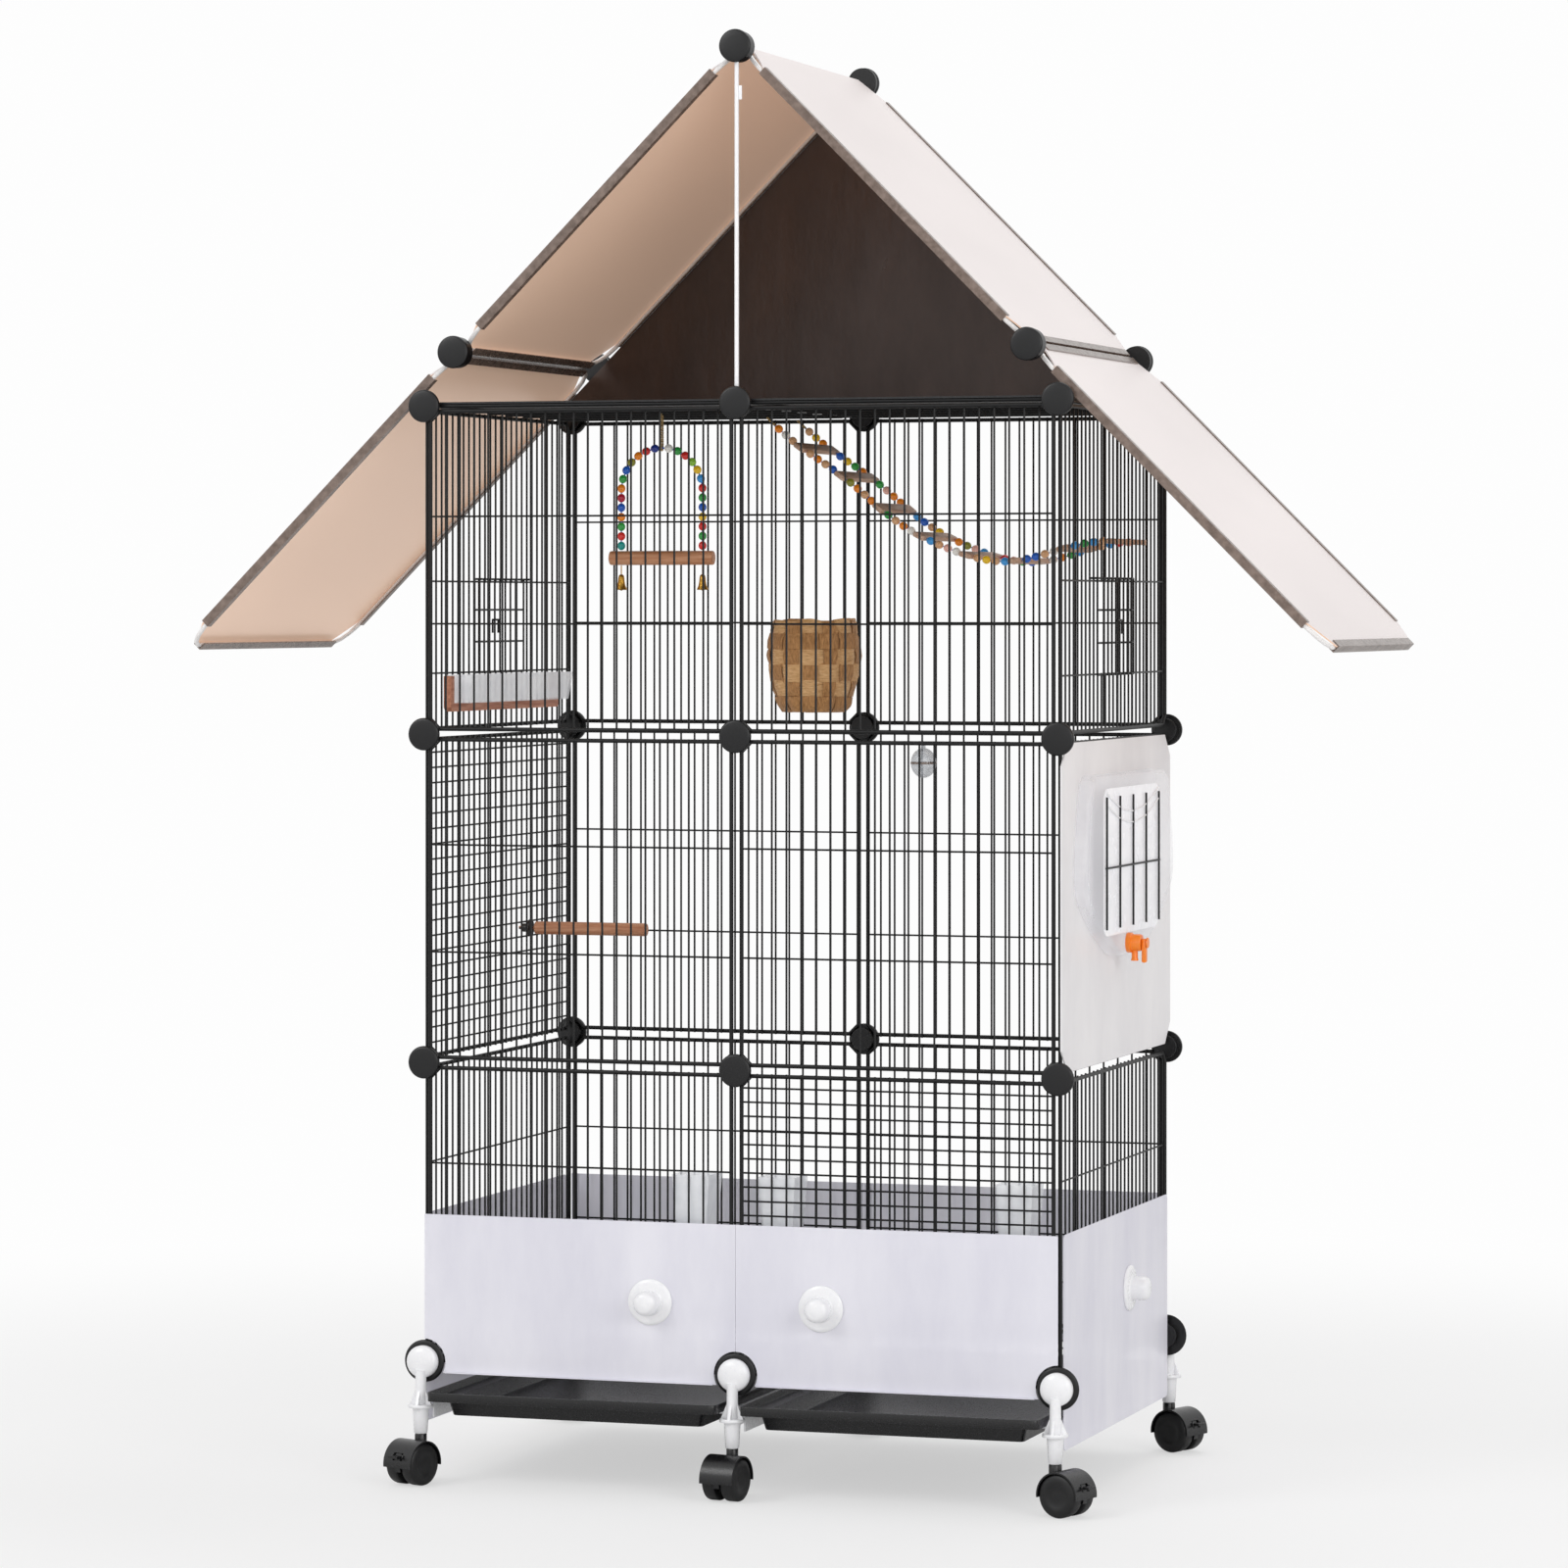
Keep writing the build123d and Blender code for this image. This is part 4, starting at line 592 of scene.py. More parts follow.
bm = bmesh.new()
for x in columns:
    for z in (cage["low"], cage["mid"], cage["shelf"]):
        roundCap(bm, frontFace(x, z), cap["radius"], cap["thickness"], cap["hub"], cap["reach"])
        roundCap(bm, backFace(x, z), cap["radius"], cap["thickness"], cap["hub"], cap["reach"])
    for face in (frontFace(x, cage["floor"]), backFace(x, cage["floor"])):
        roundCap(bm, face, cap["baseRadius"], cap["baseThickness"], cap["hub"], cap["reach"])
finishPiece(bm, "cornerCaps", "cage", ["blackPlastic"], ["corner_connectors"])

roof = {"pitch": 0.457, "panel": 0.450, "wire": 0.0025, "cut": 0.0205, "ease": 0.008, "easeShare": 0.7}
slope = sqrt(0.5)
edgeX = roof["pitch"] * slope
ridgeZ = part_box("roof_connectors")[1].z - cap["radius"]
midZ = ridgeZ - edgeX
bm = bmesh.new()
for x, z in ((0, ridgeZ), (-edgeX, midZ), (edgeX, midZ)):
    roundCap(bm, frontFace(x, z), cap["radius"], cap["thickness"], cap["roofHub"], cap["roofReach"])
    roundCap(bm, backFace(x, z), cap["radius"], cap["thickness"], cap["roofHub"], cap["reach"])
finishPiece(bm, "roofCaps", "cage", ["blackPlastic"], ["roof_connectors"])

# ---- roof wires and post

def easedLoop(face):
    # loop whose cut corners are eased again, as a bent wire is
    right = roof["panel"] / 2 - roof["wire"]
    cut, ease, mid = roof["cut"], roof["ease"], roof["ease"] * roof["easeShare"]
    points = []
    for x, y in ((1, 1), (-1, 1), (-1, -1), (1, -1)):
        first = [
            (right - cut - ease, right), (right - cut + mid, right - mid),
            (right - mid, right - cut + mid), (right, right - cut - ease),
        ]
        points += [(x * a, y * b) for a, b in (first if x * y < 0 else reversed(first))]
    return [face @ Vector((a, b, 0)) for a, b in points]


bm = bmesh.new()
for hand in (-1, 1):
    for steps in (1, 3):
        down = steps * roof["pitch"] / 2
        origin = (hand * down * slope, 0, ridgeZ - down * slope)
        face = placeAt(origin, (0, hand, 0), (hand * slope, 0, slope))
        bentWire(bm, easedLoop(face), roof["wire"], sides=10)
finishPiece(bm, "roofWires", "cage", ["whiteWire"], ["roof_frames"], weld=False)

post = {
    "radius": 0.0025, "y": -0.2275, "tabWidth": 0.0034, "tabThickness": 0.0015, "tabDrop": 0.025,
    "tabLength": 0.015, "tabRound": 0.0004,
}
low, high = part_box("centre_post")
bm = bmesh.new()
rod(bm, (0, post["y"], low.z), (0, post["y"], high.z), post["radius"] * 0.97, 16)
tabPlace = Matrix.Translation((
    post["radius"] + post["tabWidth"] / 2, post["y"], high.z - post["tabDrop"] - post["tabLength"] / 2
))
block(bm, tabPlace, (post["tabWidth"], post["tabThickness"], post["tabLength"]), post["tabRound"])
finishPiece(bm, "ridgePost", "cage", ["whitePlastic"], ["centre_post"])
print("roof made")

# ---- legs

leg = {
    "y": 0.2425, "ballY": 0.00815, "ballRadius": 0.0175, "ballDepth": 0.012, "neck": 0.0066,
    "neckTop": 0.1225, "collar": 0.0139, "collarBottom": 0.082, "collarTop": 0.0855, "wingTop": 0.1,
    "wing": 0.0126, "wingHalf": 0.0015,
}
bm = bmesh.new()
for x in columns:
    for y, turn in ((-leg["y"], 0), (leg["y"], pi)):
        stand = Matrix.Translation((x, y, 0)) @ Matrix.Rotation(turn, 4, "Z")
        ball = stand @ placeAt((0, leg["ballY"], cage["floor"]), (1, 0, 0), (0, -1, 0))
        r, d = leg["ballRadius"], leg["ballDepth"]
        dome = [(r * cos(a), d * 0.45 + d * 0.55 * sin(a)) for a in [k * pi / 16 for k in range(9)]]
        dome[-1] = (0, d)
        lathe(bm, [(0, 0), (r * 0.95, 0), (r, 0.0006)] + dome, ball)
        stem = [
            (0, 0.0818), (0.0058, 0.0818), (0.0058, 0.054), (0.0069, 0.054), (0.0074, 0.0548),
            (0.0089, 0.0812),
            (leg["collar"] - 0.0004, leg["collarBottom"]), (leg["collar"], leg["collarBottom"] + 0.0005),
            (leg["collar"], leg["collarTop"] - 0.0005), (leg["collar"] - 0.0004, leg["collarTop"]),
            (leg["neck"], leg["collarTop"]), (leg["neck"] * 0.92, leg["wingTop"] + 0.006),
            (leg["neck"] * 0.9, leg["neckTop"]), (0, leg["neckTop"]),
        ]
        lathe(bm, stem, stand)
        for quarter in range(4):
            wingPlace = stand @ Matrix.Rotation(quarter * pi / 2, 4, "Z")
            outline = [
                (0, leg["collarTop"] - 0.0002), (leg["wing"], leg["collarTop"] - 0.0002),
                (leg["neck"] * 0.95, leg["wingTop"]), (0, leg["wingTop"]),
            ]
            upright = wingPlace @ placeAt((0, leg["wingHalf"], 0), (1, 0, 0), (0, -1, 0))
            plate(bm, upright, outline, 2 * leg["wingHalf"])
finishPiece(bm, "legMouldings", "cage", ["whitePlastic"], ["legs"])
print("legs made")

# ---- castors

castor = {
    "wheel": 0.023, "inner": 0.0042, "outer": 0.0192, "trail": 0.014, "axle": 0.0025, "web": 0.0036,
    "webEdge": 0.0075, "fenderIn": 0.0237, "fenderOut": 0.0254, "half": 0.0194, "notch": 0.0065,
    "fender": (-6, 186), "slot": (12, 32), "leverAngle": 22, "leverPivot": 0.02585, "neck": 0.0064,
    "neckTop": 0.0537, "neckFoot": 0.0445, "stem": 0.0054, "stemTop": 0.0798,
}
headings = {
    "front_left": (-110, (-0.357, -0.2425)), "front_middle": (-99, (0, -0.2425)),
    "front_right": (-19, (0.357, -0.2425)), "back_right": (-22, (0.357, 0.2425)),
    "back_middle": (99, (0, 0.2425)), "back_left": (110, (-0.357, 0.2425)),
}
braked = ("front_left", "front_right", "back_right")


def fenderBand(bm, place, fromAngle, toAngle, nearSide, farSide):
    # a bent strip over the wheels, turned about the axle
    corners = [
        (castor["fenderIn"], nearSide), (castor["fenderOut"], nearSide),
        (castor["fenderOut"], farSide), (castor["fenderIn"], farSide),
    ]
    start = place @ Matrix.Rotation(radians(fromAngle), 4, "Z")
    face = bm.faces.new([bm.verts.new(start @ Vector((radius, 0, z))) for radius, z in corners])
    bmesh.ops.spin(
        bm, geom=[face], cent=place.translation, axis=place.to_3x3() @ Vector((0, 0, 1)),
        angle=radians(toAngle - fromAngle), steps=max(3, round((toAngle - fromAngle) / 7)),
    )


half, notch, inner, outer = castor["half"], castor["notch"], castor["inner"], castor["outer"]
(first, last), (slotFrom, slotTo) = castor["fender"], castor["slot"]
plainBands = [(first, last, -half, half)]
brakedBands = [
    (first, last, -half, -notch), (first, last, notch, half), (first, slotFrom, -notch, notch),
    (slotTo, last, -notch, notch),
]
for name, (heading, spot) in headings.items():
    angle = radians(heading)
    trail = Vector((cos(angle), sin(angle), 0))
    centre = Vector((*spot, castor["wheel"])) + trail * castor["trail"]
    place = placeAt(centre, trail, trail.cross(Vector((0, 0, 1))))
    bm = bmesh.new()
    for way in (-1, 1):
        r = castor["wheel"]
        profile = [
            (0, inner), (r - 0.0012, inner), (r - 0.0003, inner + 0.0006), (r, inner + 0.0016),
            (r, outer - 0.0036), (r - 0.0006, outer - 0.0018), (r - 0.0022, outer - 0.0007),
            (r - 0.006, outer - 0.0001), (0.0125, outer), (0.0115, outer - 0.0006),
            (0.005, outer - 0.0006), (0, outer - 0.0002),
        ]
        lathe(bm, [(radius, way * z) for radius, z in profile], place, 40)
    faceRod(bm, place, (0, 0, -inner), (0, 0, inner), castor["axle"], 12)
    finishPiece(bm, "wheelPair_" + name, "wheels_" + name, ["wheelBlack"], ["wheels_" + name])

    bm = bmesh.new()
    for fromAngle, toAngle, nearSide, farSide in brakedBands if name in braked else plainBands:
        fenderBand(bm, place, fromAngle, toAngle, nearSide, farSide)
    webRadius = castor["fenderIn"] + 0.0006
    web = bmesh.ops.create_cone(
        bm, cap_ends=True, segments=48, radius1=webRadius, radius2=webRadius, depth=2 * castor["web"],
        matrix=place,
    )["verts"]
    webEdges = {edge for vert in web for edge in vert.link_edges}
    webFaces = {face for vert in web for face in vert.link_faces}
    cut = bmesh.ops.bisect_plane(
        bm, geom=[*web, *webEdges, *webFaces], dist=1e-6, plane_co=place @ Vector((0, -castor["webEdge"], 0)),
        plane_no=place.to_3x3() @ Vector((0, -1, 0)), clear_outer=True,
    )
    rim = [item for item in cut["geom_cut"] if isinstance(item, bmesh.types.BMEdge)]
    bmesh.ops.edgenet_fill(bm, edges=rim)
    neck, neckTop, stem, stemTop = (castor[key] for key in ("neck", "neckTop", "stem", "stemTop"))
    lathe(bm, [
        (0, castor["neckFoot"]), (neck, castor["neckFoot"]), (neck, neckTop - 0.0006),
        (neck - 0.0005, neckTop), (stem, neckTop), (stem, stemTop - 0.001), (stem - 0.001, stemTop),
        (0, stemTop),
    ], Matrix.Translation((*spot, 0)), 24)
    block(bm, placeAt((*spot, 0.0472), trail, (0, 0, 1)), (0.0126, 0.0072, 0.0124), 0.0008)
    if name in braked:
        turn, pivot = radians(castor["leverAngle"]), castor["leverPivot"]
        for way in (-1, 1):
            spotOnHood = Matrix.Translation((pivot * cos(turn), pivot * sin(turn), way * (notch + 0.001)))
            ear = place @ spotOnHood @ Matrix.Rotation(turn, 4, "Z")
            block(bm, ear, (0.0026, 0.0039, 0.002), 0.0003)
        paint("brake_lever_" + name, "hoodBlack")
    finishPiece(
        bm, "castorHood_" + name, "castor_" + name, ["hoodBlack"], ["castor_" + name],
        weld=False,
    )
print("castors made")

# ---- guard knobs

knob = {
    "flange": 0.0248, "boss": 0.0135, "height": 0.024, "back": 0.00385, "plate": 0.0105, "shank": 0.0029,
    "z": 0.205, "barsAcross": 5, "barsDeep": 3, "inside": -0.0078, "plateTop": -0.0049,
}
bm = bmesh.new()
knobX = bays[1] - knob["barsAcross"] * barPitch
knobFaces = [view(x, knob["z"]) for view in (frontFace, backFace) for x in (-knobX, knobX)]
for hand in (-1, 1):
    shift = Matrix.Translation((hand * knob["barsDeep"] * deepPitch, 0, 0))
    knobFaces.append(sideFace(hand, knob["z"]) @ shift)
for face in knobFaces:
    back, boss, top = knob["back"], knob["boss"], knob["back"] + knob["height"]
    flange, inside, plateTop = knob["flange"], knob["inside"], knob["plateTop"]
    lathe(bm, [
        (0, inside), (knob["plate"], inside), (knob["plate"], plateTop), (knob["shank"], plateTop),
        (knob["shank"], back), (flange, back), (flange, back + 0.0016), (flange - 0.0012, back + 0.003),
        (flange - 0.004, back + 0.0035),
        (boss + 0.0012, back + 0.0038), (boss - 0.0002, back + 0.0052), (boss, back + 0.012),
        (boss - 0.0006, top - 0.0052), (boss - 0.0028, top - 0.002), (boss - 0.006, top - 0.0005), (0, top),
    ], face, 40)
finishPiece(bm, "roundKnobs", "cage", ["whitePlastic"], ["guard_knobs"])

# ---- spill guards

guard = {
    "back": 0.00255, "thickness": 0.001, "bottom": 0.119, "top": 0.291, "half": 0.1783, "notch": 0.0245,
    "lip": 0.006, "lipHalf": 0.154, "lipRound": 0.0004, "sideHalf": 0.221, "sideBottom": 0.064,
    "round": 0.006, "notchSteps": 18,
}


def guardOutline():
    # a sheet over one bay, with a round notch for the leg connector in each lower corner
    drop, rise = guard["bottom"] - cage["floor"], guard["top"] - cage["floor"]
    first = pi + np.arcsin(-drop / guard["notch"])
    last = np.arccos((guard["half"] - cage["bay"] / 2) / guard["notch"])
    angles = np.linspace(first, last, guard["notchSteps"])
    notch = [(cage["bay"] / 2 + guard["notch"] * cos(a), guard["notch"] * sin(a)) for a in angles]
    top = [(guard["half"], rise), (-guard["half"], rise)]
    return notch + top + [(-u, v) for u, v in reversed(notch)]


bm = bmesh.new()
lift = Matrix.Translation((0, 0, guard["back"]))
for x in bays:
    for face in (frontFace(x, cage["floor"]), backFace(x, cage["floor"])):
        plate(bm, face @ lift, guardOutline(), guard["thickness"])
        lipPlace = face @ Matrix.Translation((
            0, guard["bottom"] - cage["floor"] + guard["thickness"] / 2, guard["back"] + guard["lip"] / 2
        ))
        block(bm, lipPlace, (2 * guard["lipHalf"], guard["thickness"], guard["lip"]), guard["lipRound"])
for hand in (-1, 1):
    middle = (guard["sideBottom"] + guard["top"]) / 2
    outline = roundedBox(guard["sideHalf"], (guard["top"] - guard["sideBottom"]) / 2, guard["round"])
    plate(bm, sideFace(hand, middle) @ lift, outline, guard["thickness"])
finishPiece(bm, "guardSheets", "cage", ["spillGuard"], ["spill_guards"], weld=False)
print("guards made")

# ---- pull-out trays

# rings of the pan from its inner floor over the rim to its underside:
# inset, height over the tray's foot, corner radius
tray = {
    "rings": (
        (0.024, 0.002, 0.006), (0.02, 0.0185, 0.006), (0.002, 0.0185, 0.007), (0.002, 0.0265, 0.007),
        (0, 0.0265, 0.008), (0, 0.0165, 0.008), (0.018, 0.0165, 0.006), (0.0221, 0, 0.006),
    ),
    "round": 0.0006, "sharp": 35,
}


for sideName in ("left", "right"):
    low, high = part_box(sideName + "_tray")
    middle = (low + high) / 2
    bm = bmesh.new()
    rings = []
    for inset, height, corner in tray["rings"]:
        points = roundedBox((high.x - low.x) / 2 - inset, (high.y - low.y) / 2 - inset, corner)
        rings.append([bm.verts.new((middle.x + x, middle.y + y, low.z + height)) for x, y in points])
    for ring, following in zip(rings, rings[1:]):
        for k in range(len(ring)):
            bm.faces.new((ring[k - 1], ring[k], following[k], following[k - 1]))
    for ring in (rings[0], rings[-1]):
        bm.faces.new(ring)
    bmesh.ops.recalc_face_normals(bm, faces=bm.faces)
    sharp = [edge for edge in bm.edges if edge.calc_face_angle(0) > radians(tray["sharp"])]
    bmesh.ops.bevel(
        bm, geom=sharp, offset=tray["round"], segments=2, profile=0.5, affect="EDGES", material=-1
    )
    finishPiece(
        bm, sideName + "TrayPan", sideName + "_tray", ["trayBlack"], [sideName + "_tray"],
        weld=False,
    )
print("trays made")

# ---- water tank and tap

tank = {
    "outline": (
        (0.163, 0.772), (0.187, 0.688), (0.187, 0.648), (0.151, 0.620), (0.095, 0.592), (0.0475, 0.574),
    ),
    "wires": 5, "pitch": 0.056, "top": 0.748, "bottom": 0.606, "rail": 0.672, "railHalf": 0.115,
    "corner": 0.019, "shoulder": 0.007, "paneDepth": 0.0012, "paneThickness": 0.0007, "paneMiddle": 0.678,
    "paneHalf": 0.118, "paneRise": 0.079, "paneRound": 0.014, "bandTop": 0.752, "bandPitch": 0.012,
    "bandSag": 0.022, "bandHalf": 0.11, "bandSteps": 10, "bandRadius": 0.0008, "bandBack": 0.0009,
}
low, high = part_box("water_tank")
bm = bmesh.new()
shape = list(tank["outline"]) + [(-y, z) for y, z in reversed(tank["outline"])]
foot = placeAt((low.x, 0, 0), (0, 1, 0), (1, 0, 0))
sole = bm.faces.new([bm.verts.new(foot @ Vector((*point, 0))) for point in shape])
bmesh.ops.bevel(
    bm, geom=list(sole.verts), offset=tank["corner"], segments=6, profile=0.5, affect="VERTICES", material=-1
)
bm.faces.ensure_lookup_table()
crown = pushFace(bm, bm.faces[0], Vector((high.x - low.x, 0, 0)))
bmesh.ops.bevel(
    bm, geom=list(crown.edges), offset=tank["shoulder"], segments=5, profile=0.5, affect="EDGES", material=-1
)
finishPiece(bm, "tankShell", "cage", ["tankPlastic"], ["water_tank"], weld=False)
bm = bmesh.new()
paneFoot = placeAt((high.x - tank["paneDepth"], 0, tank["paneMiddle"]), (0, 1, 0), (1, 0, 0))
plate(bm, paneFoot, roundedBox(tank["paneHalf"], tank["paneRise"], tank["paneRound"]), tank["paneThickness"])
finishPiece(bm, "tankPaneSheet", "cage", ["tankPane"], (), weld=False)
low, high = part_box("tank_guard_wires")
wireX = (low.x + high.x) / 2
bm = bmesh.new()
for y in row(tank["wires"], tank["pitch"]):
    rod(bm, (wireX, y, tank["bottom"]), (wireX, y, tank["top"]), cage["barRadius"])
rod(bm, (wireX, -tank["railHalf"], tank["rail"]), (wireX, tank["railHalf"], tank["rail"]), cage["barRadius"])
finishWires(bm, "tankWires", "tank_guard_wires")
bm = bmesh.new()
for bandIndex in range(2):
    bandTop, half = tank["bandTop"] - bandIndex * tank["bandPitch"], tank["bandHalf"]
    arc = [
        (low.x + tank["bandBack"], y, bandTop - tank["bandSag"] * (1 - (y / half) ** 2))
        for y in [half * (2 * k / tank["bandSteps"] - 1) for k in range(tank["bandSteps"] + 1)]
    ]
    bentWire(bm, arc, tank["bandRadius"], closed=False)
finishPiece(bm, "tankBands", "cage", ["whitePlastic"], (), weld=False)

tap = {"y": -0.022, "z": 0.588, "radius": 0.011, "length": 0.016, "spout": 0.004, "leverRound": 0.0018}
low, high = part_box("tap_body")
bm = bmesh.new()
tapPlace = placeAt((low.x, tap["y"], tap["z"]), (0, 1, 0), (1, 0, 0))
length, reach = tap["length"], high.x - low.x
lathe(bm, [
    (0, 0), (tap["radius"] * 0.97, 0), (tap["radius"], 0.0008), (tap["radius"], 0.005), (0.0092, 0.0058),
    (0.0092, length - 0.0012), (0.0084, length), (0.002, length), (0.002, length + 0.0056),
    (0.0054, length + 0.0056), (0.006, length + 0.0062), (0.0054, reach), (0, reach),
], tapPlace)
spoutTop = Matrix.Translation((low.x + length / 2, tap["y"], low.z))
lathe(bm, [
    (0, 0.004), (0.0028, 0.003), (0.003, 0), (tap["spout"], 0), (tap["spout"], 0.0015), (0.0034, 0.003),
    (0.0034, 0.016), (0, 0.016),
], spoutTop, 20)
finishPiece(bm, "tapBarrel", "cage", ["orangePlastic"], ["tap_body"])
low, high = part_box("tap_lever")
bm = bmesh.new()
block(bm, Matrix.Translation((low + high) / 2), high - low, tap["leverRound"])
finishPiece(bm, "tapHandle", "tap_lever", ["orangePlastic"], ["tap_lever"])
print("tank and tap made")

# ---- bead swing

swing = {
    "x": -0.1645, "top": 1.129, "arch": 0.048, "pitch": 0.0107, "gap": 0.0029,
    "beadRound": 0.0047, "beadLength": 0.0049, "cord": 0.0012,
    "loopHalf": 0.003, "loopTop": 1.1697, "loopBottom": 1.1264,
    "seat": 0.008, "seatHalf": 0.061, "lay": 0.005, "thread": 0.0008, "bend": 0.002, "bendSteps": 8,
    "runSteps": 24,
}
swingColours = (
    "white green red lime yellow sky red green blue yellow red green red".split(),
    "navy red orange olive blue green orange crimson blue orange green red teal".split(),
)


def beadBall(bm, centre, direction, materialIndex):
    turn = Vector(direction).to_track_quat("Z", "Y").to_matrix().to_4x4()
    size = Matrix.Diagonal((swing["beadRound"], swing["beadRound"], swing["beadLength"], 1))
    made = bmesh.ops.create_uvsphere(
        bm, u_segments=12, v_segments=8, radius=1.0, matrix=Matrix.Translation(centre) @ turn @ size
    )
    tintFaces(made["verts"], materialIndex)


def archPoint(hand, distance):
    quarter = swing["arch"] * pi / 2
    centreZ = swing["top"] - swing["arch"]
    if distance < quarter:
        a = distance / swing["arch"]
        return (
            Vector((swing["x"] + hand * swing["arch"] * sin(a), 0, centreZ + swing["arch"] * cos(a))),
            Vector((hand * cos(a), 0, -sin(a))),
        )
    return Vector((swing["x"] + hand * swing["arch"], 0, centreZ + quarter - distance)), Vector((0, 0, -1))


bm = bmesh.new()
beadPalette = list(beadPaint)
for hand, colours in zip((1, -1), swingColours):
    threadPoints = []
    for index, colour in enumerate(colours):
        reach = swing["gap"] + (index + 0.5) * swing["pitch"]
        centre, direction = archPoint(hand, reach)
        beadBall(bm, centre, direction, beadPalette.index(colour))
        threadPoints.append(centre)
    bentWire(bm, [archPoint(hand, 0)[0]] + threadPoints, swing["thread"], closed=False, sides=6)
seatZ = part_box("swing")[0].z + swing["seat"]
finishPiece(bm, "swingBeads", "swing", beadPalette, (), weld=False)
bm = bmesh.new()
half, r = swing["seatHalf"], swing["seat"] * 0.985
lathe(bm, [
    (0, -half), (r - 0.0012, -half), (r - 0.0003, -half + 0.0004), (r, -half + 0.0014), (r, half - 0.0014),
    (r - 0.0003, half - 0.0004), (r - 0.0012, half), (0, half),
], placeAt((swing["x"], 0, seatZ), (0, 1, 0), (1, 0, 0)), 28)
finishPiece(bm, "swingSeat", "swing", ["seatWood"], ["swing"])

# two strands laid round each other along a long loop
bend, half = swing["bend"], swing["loopHalf"]
top, bottom = swing["loopTop"] - swing["cord"] - bend, swing["loopBottom"] - 0.0001 + bend
turns = [pi * k / swing["bendSteps"] for k in range(swing["bendSteps"] + 1)]
drops = [(top - bottom) * k / swing["runSteps"] for k in range(1, swing["runSteps"])]
path = [(half * cos(a), top + bend * sin(a)) for a in turns] + [(-half, top - drop) for drop in drops]
path += [(-half * cos(a), bottom - bend * sin(a)) for a in turns] + [(half, bottom + drop) for drop in drops]
bm = bmesh.new()
for start in (0, pi):
    strand, run = [], 0.0
    for (y, z), (nextY, nextZ) in zip(path, path[1:] + path[:1]):
        along = Vector((nextY - y, nextZ - z))
        across = Vector((-along.y, along.x)).normalized() * swing["cord"] * 0.5
        turn = start + 2 * pi * run / swing["lay"]
        strand.append((
            swing["x"] + swing["cord"] * 0.5 * sin(turn), y + across.x * cos(turn), z + across.y * cos(turn)
        ))
        run += along.length
    bentWire(bm, strand, swing["cord"] * 0.6, sides=6)
finishPiece(bm, "swingCord", "swing_loop", ["jute"], ["swing_loop"], weld=False)

bell = {
    "cord": 0.0007, "cordLength": 0.0102, "clapper": 0.0018, "clapperDrop": 0.0265, "pin": 0.0004,
    "pinTop": 0.0125, "pinFoot": 0.026,
    "profile": (
        (0, -0.010), (0.0016, -0.0101), (0.0028, -0.0112), (0.0034, -0.0135), (0.0038, -0.018),
        (0.0046, -0.0225), (0.0058, -0.0252), (0.0064, -0.0268), (0.006, -0.0274), (0.005, -0.0262),
        (0.0036, -0.022), (0.003, -0.015), (0, -0.0125),
    ),
}
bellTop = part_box("left_bell")[1].z
for sideName, hand in (("left", -1), ("right", 1)):
    bm = bmesh.new()
    place = Matrix.Translation((swing["x"] + hand * swing["arch"], 0, bellTop))
    faceRod(bm, place, (0, 0, -bell["cordLength"]), (0, 0, 0), bell["cord"])
    lathe(bm, bell["profile"], place, 24)
    bmesh.ops.create_uvsphere(
        bm, u_segments=12, v_segments=8, radius=bell["clapper"],
        matrix=place @ Matrix.Translation((0, 0, -bell["clapperDrop"])),
    )
    faceRod(bm, place, (0, 0, -bell["pinFoot"]), (0, 0, -bell["pinTop"]), bell["pin"])
    finishPiece(bm, sideName + "BrassBell", sideName + "_bell", ["brass"], [sideName + "_bell"])
print("swing made")

# ---- bead ladder

ladder = {"thread": 0.0006, "tie": 0.0013, "thinnest": 0.0025, "slatRound": 0.0019}
ladderColours = "blue tan orange yellow red green white pink tan orange sky olive".split()
random.seed(12)
bm = bmesh.new()
strands = {}
for centre, axes, halves in looseParts("ladder_beads"):
    strands.setdefault(round(centre.y, 2), []).append((centre, axes[0], halves))
ties = []
for beadsOnStrand in strands.values():
    beadsOnStrand.sort(key=lambda item: -item[0].x)
    for centre, direction, halves in beadsOnStrand:
        if halves[1] < ladder["thinnest"]:
            ties.append((centre - direction * halves[0], centre + direction * halves[0]))
            continue
        colour = random.choice(ladderColours)
        beadBall(bm, centre, direction, beadPalette.index(colour))
    path = [item[0] for item in beadsOnStrand]
    bentWire(bm, path, ladder["thread"], closed=False, sides=6)
finishPiece(bm, "ladderBeadStrings", "cage", beadPalette, ["ladder_beads"], weld=False)
bm = bmesh.new()
for start, end in ties:
    rod(bm, start, end, ladder["tie"], 10)
finishPiece(bm, "ladderTies", "cage", ["jute"], (), weld=False)

bm = bmesh.new()
for centre, axes, halves in looseParts("ladder_slats"):
    block(bm, placeAt(centre, axes[0], axes[2]), [2 * half for half in halves], ladder["slatRound"])
finishPiece(bm, "ladderRungs", "cage", ["slatWood"], ["ladder_slats"])
print("ladder made")

# ---- woven nest

nest = {
    "columns": 14, "rows": 6, "wave": 0.0017, "leaf": 0.0007, "inset": 0.0027, "overlap": 1.12,
    "wobble": 0.0016, "ragged": 0.0045, "pot": 0.0058, "potWall": 0.0012, "potShare": 0.93,
    "profile": ((0, 0.66), (0.06, 0.76), (0.3, 0.92), (0.62, 1.0), (0.85, 0.93), (1, 0.86)),
}
low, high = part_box("nest")
nestCentre, nestHeight, nestRadius = (low + high) / 2, high.z - low.z, (high.x - low.x) / 2


